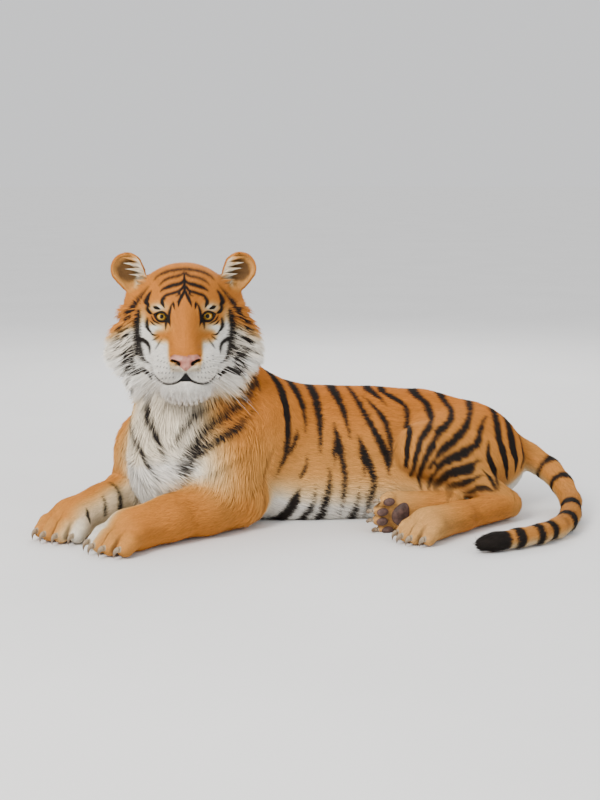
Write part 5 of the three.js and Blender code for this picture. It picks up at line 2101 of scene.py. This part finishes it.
class TigerCoat(bpy.types.PropertyGroup):
    """The coat's colours and how many tufts it has."""

    back: colour_setting("Back", "The ground colour along the back", (0.56, 0.175, 0.022))
    flank: colour_setting("Flank", "The ground colour on the flanks", (0.62, 0.235, 0.042))
    white: colour_setting("White", "The white of the belly, the cheeks and the brows", (0.88, 0.84, 0.76))
    black: colour_setting("Black", "The stripes", (0.016, 0.012, 0.010))
    body_layers: IntProperty(name="Body layers", description="Pieces of the body's coat", default=4, min=1)
    head_layers: IntProperty(name="Head layers", description="Pieces of the head's coat", default=2, min=1)
    tufts: IntProperty(name="Tufts", description="Tufts in each piece of the coat", default=49000, min=100)
    ruff_tufts: IntProperty(name="Ruff tufts", description="Long tufts of ruff and beard",
                            default=19000, min=10)
    fringe_tufts: IntProperty(name="Fringe tufts", description="Long tufts of chest, belly and tail's tip",
                              default=9000, min=10)
    ear_tufts: IntProperty(name="Ear tufts", description="Long tufts in the ears", default=4400, min=10)


class TigerEyes(bpy.types.PropertyGroup):
    """The eyes' colours, and the angles of their rings as seen from the middle of the ball."""

    inner_iris: colour_setting("Inner iris", "The iris beside the pupil", (0.78, 0.43, 0.06))
    outer_iris: colour_setting("Outer iris", "The iris at its rim", (0.46, 0.19, 0.02))
    pupil: FloatProperty(name="Pupil", description="Degrees from the pupil's middle to its edge",
                         default=15.0)
    iris: FloatProperty(name="Iris", description="Degrees from the pupil's middle to the iris's rim",
                        default=42.0)


class TigerStage(bpy.types.PropertyGroup):
    """The camera and the floor."""

    camera_place: FloatVectorProperty(name="Camera", description="The camera's place",
                                      default=(4.430, -0.538, 1.05), subtype="TRANSLATION", unit="LENGTH")
    azimuth: FloatProperty(name="Azimuth", description="The camera's turn round the vertical",
                           default=math.radians(85), subtype="ANGLE")
    pitch: FloatProperty(name="Pitch", description="The camera's tilt, down if less than 0",
                         default=math.radians(-9.13), subtype="ANGLE")
    lens: FloatProperty(name="Lens", description="The focal length, for a 36 mm sensor",
                        default=66.6, min=10, subtype="DISTANCE_CAMERA")
    floor: FloatProperty(name="Floor", description="The floor's radius",
                         default=60.0, min=1, subtype="DISTANCE", unit="LENGTH")


# ---------------------------------------------------------------------------------------- operators
class TIGER_OT_skin(bpy.types.Operator):
    """Adds the one skin that stands for all the nodes of flesh"""

    bl_idname = "tiger.skin"
    bl_label = "Skin"

    def execute(self, context):
        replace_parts(skin_piece(), *flesh_nodes())
        return {"FINISHED"}


class TIGER_OT_body_coat(bpy.types.Operator):
    """Adds the body's coat, in layers that each cover the whole body"""

    bl_idname = "tiger.body_coat"
    bl_label = "Body coat"

    def execute(self, context):
        look = context.scene.tiger_coat
        body_coat(look.body_layers, look.tufts)
        return {"FINISHED"}


class TIGER_OT_head_coat(bpy.types.Operator):
    """Adds the short coat of the head and the ears"""

    bl_idname = "tiger.head_coat"
    bl_label = "Head coat"

    def execute(self, context):
        look = context.scene.tiger_coat
        head_coat(look.head_layers, look.tufts)
        return {"FINISHED"}


class TIGER_OT_long_coat(bpy.types.Operator):
    """Adds the long hair of the ruff, the beard, the chest, the belly and the ears"""

    bl_idname = "tiger.long_coat"
    bl_label = "Long coat"

    def execute(self, context):
        look = context.scene.tiger_coat
        ruff_coat(look.ruff_tufts)
        fringe_coat(look.fringe_tufts)
        ear_coat(look.ear_tufts)
        return {"FINISHED"}


class TIGER_OT_whiskers(bpy.types.Operator):
    """Adds the whiskers of the muzzle"""

    bl_idname = "tiger.whiskers"
    bl_label = "Whiskers"

    def execute(self, context):
        whisker_piece()
        return {"FINISHED"}


class TIGER_OT_eyes(bpy.types.Operator):
    """Adds the eyes, that look at the camera"""

    bl_idname = "tiger.eyes"
    bl_label = "Eyes"

    def execute(self, context):
        look_at = np.array(context.scene.tiger_stage.camera_place) / MM
        for name, node_name, side in (("EyeLeft", "eye_left", 1), ("EyeRight", "eye_right", -1)):
            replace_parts(eye_piece(name, side, look_at), node_name)
        return {"FINISHED"}


class TIGER_OT_claws(bpy.types.Operator):
    """Adds the claws of the four feet"""

    bl_idname = "tiger.claws"
    bl_label = "Claws"

    def execute(self, context):
        for leg, (name, prefix) in CLAW_PIECES.items():
            claw_piece(name, *FEET[leg], nodes_of(prefix))
        return {"FINISHED"}


class TIGER_OT_pads(bpy.types.Operator):
    """Adds the sole pads of the hind foot that lies on its side"""

    bl_idname = "tiger.pads"
    bl_label = "Sole pads"

    def execute(self, context):
        pad_piece()
        return {"FINISHED"}


class TIGER_OT_stage(bpy.types.Operator):
    """Adds a pale floor, soft light and the camera"""

    bl_idname = "tiger.stage"
    bl_label = "Stage"

    def execute(self, context):
        settings = context.scene.tiger_stage
        turns = np.arange(FLOOR_SIDES) / FLOOR_SIDES * math.tau
        ring = np.stack([np.cos(turns), np.sin(turns), 0 * turns], axis=1) * settings.floor / MM
        points = np.concatenate([[(0, 0, 0)], ring])
        triangles = [(0, 1 + i, 1 + (i + 1) % FLOOR_SIDES) for i in range(FLOOR_SIDES)]
        mesh = bpy.data.meshes.new("Floor")
        mesh.from_pydata((points * MM).tolist(), [], triangles)
        mesh.materials.append(floor_material())
        floor = bpy.data.objects.new("Floor", mesh)
        context.scene.collection.objects.link(floor)
        for light in LIGHTS:
            add_light(*light)
        world = bpy.data.worlds.new("Studio")
        world.use_nodes = True
        background = world.node_tree.nodes["Background"]
        background.inputs["Color"].default_value = (0.98, 0.985, 1.0, 1)
        background.inputs["Strength"].default_value = 0.95
        context.scene.world = world
        self.add_camera(context, settings)
        return {"FINISHED"}

    def add_camera(self, context, settings):
        data = bpy.data.cameras.new("Camera")
        data.sensor_fit = "AUTO"
        data.sensor_width = 36
        data.lens = settings.lens
        camera = bpy.data.objects.new("Camera", data)
        camera.location = settings.camera_place
        camera.rotation_euler = (math.pi / 2 + settings.pitch, 0, settings.azimuth)
        context.scene.collection.objects.link(camera)
        context.scene.camera = camera


class TIGER_PT_panel(bpy.types.Panel):
    """The tiger's settings and its pieces"""

    bl_idname = "TIGER_PT_panel"
    bl_label = "Tiger"
    bl_space_type = "VIEW_3D"
    bl_region_type = "UI"
    bl_category = "Tiger"

    def draw(self, context):
        for group in SETTINGS:
            settings = getattr(context.scene, group)
            box = self.layout.box()
            box.label(text=group.removeprefix("tiger_").title())
            for name in settings.__annotations__:
                box.prop(settings, name)
        for operator in OPERATORS:
            self.layout.operator(operator.bl_idname)


OPERATORS = (
    TIGER_OT_skin, TIGER_OT_body_coat, TIGER_OT_head_coat, TIGER_OT_long_coat, TIGER_OT_whiskers,
    TIGER_OT_eyes, TIGER_OT_claws, TIGER_OT_pads, TIGER_OT_stage,
)
SETTINGS = {"tiger_coat": TigerCoat, "tiger_eyes": TigerEyes, "tiger_stage": TigerStage}


def register():
    for cls in (*SETTINGS.values(), *OPERATORS, TIGER_PT_panel):
        bpy.utils.register_class(cls)
    for name, cls in SETTINGS.items():
        setattr(bpy.types.Scene, name, PointerProperty(type=cls))


def unregister():
    for name in SETTINGS:
        delattr(bpy.types.Scene, name)
    for cls in reversed((*SETTINGS.values(), *OPERATORS, TIGER_PT_panel)):
        bpy.utils.unregister_class(cls)


def main():
    register()
    bpy.ops.tiger.skin()
    bpy.ops.tiger.body_coat()
    bpy.ops.tiger.head_coat()
    bpy.ops.tiger.long_coat()
    bpy.ops.tiger.whiskers()
    bpy.ops.tiger.eyes()
    bpy.ops.tiger.claws()
    bpy.ops.tiger.pads()
    bpy.ops.tiger.stage()
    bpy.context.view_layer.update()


if __name__ == "__main__":
    main()
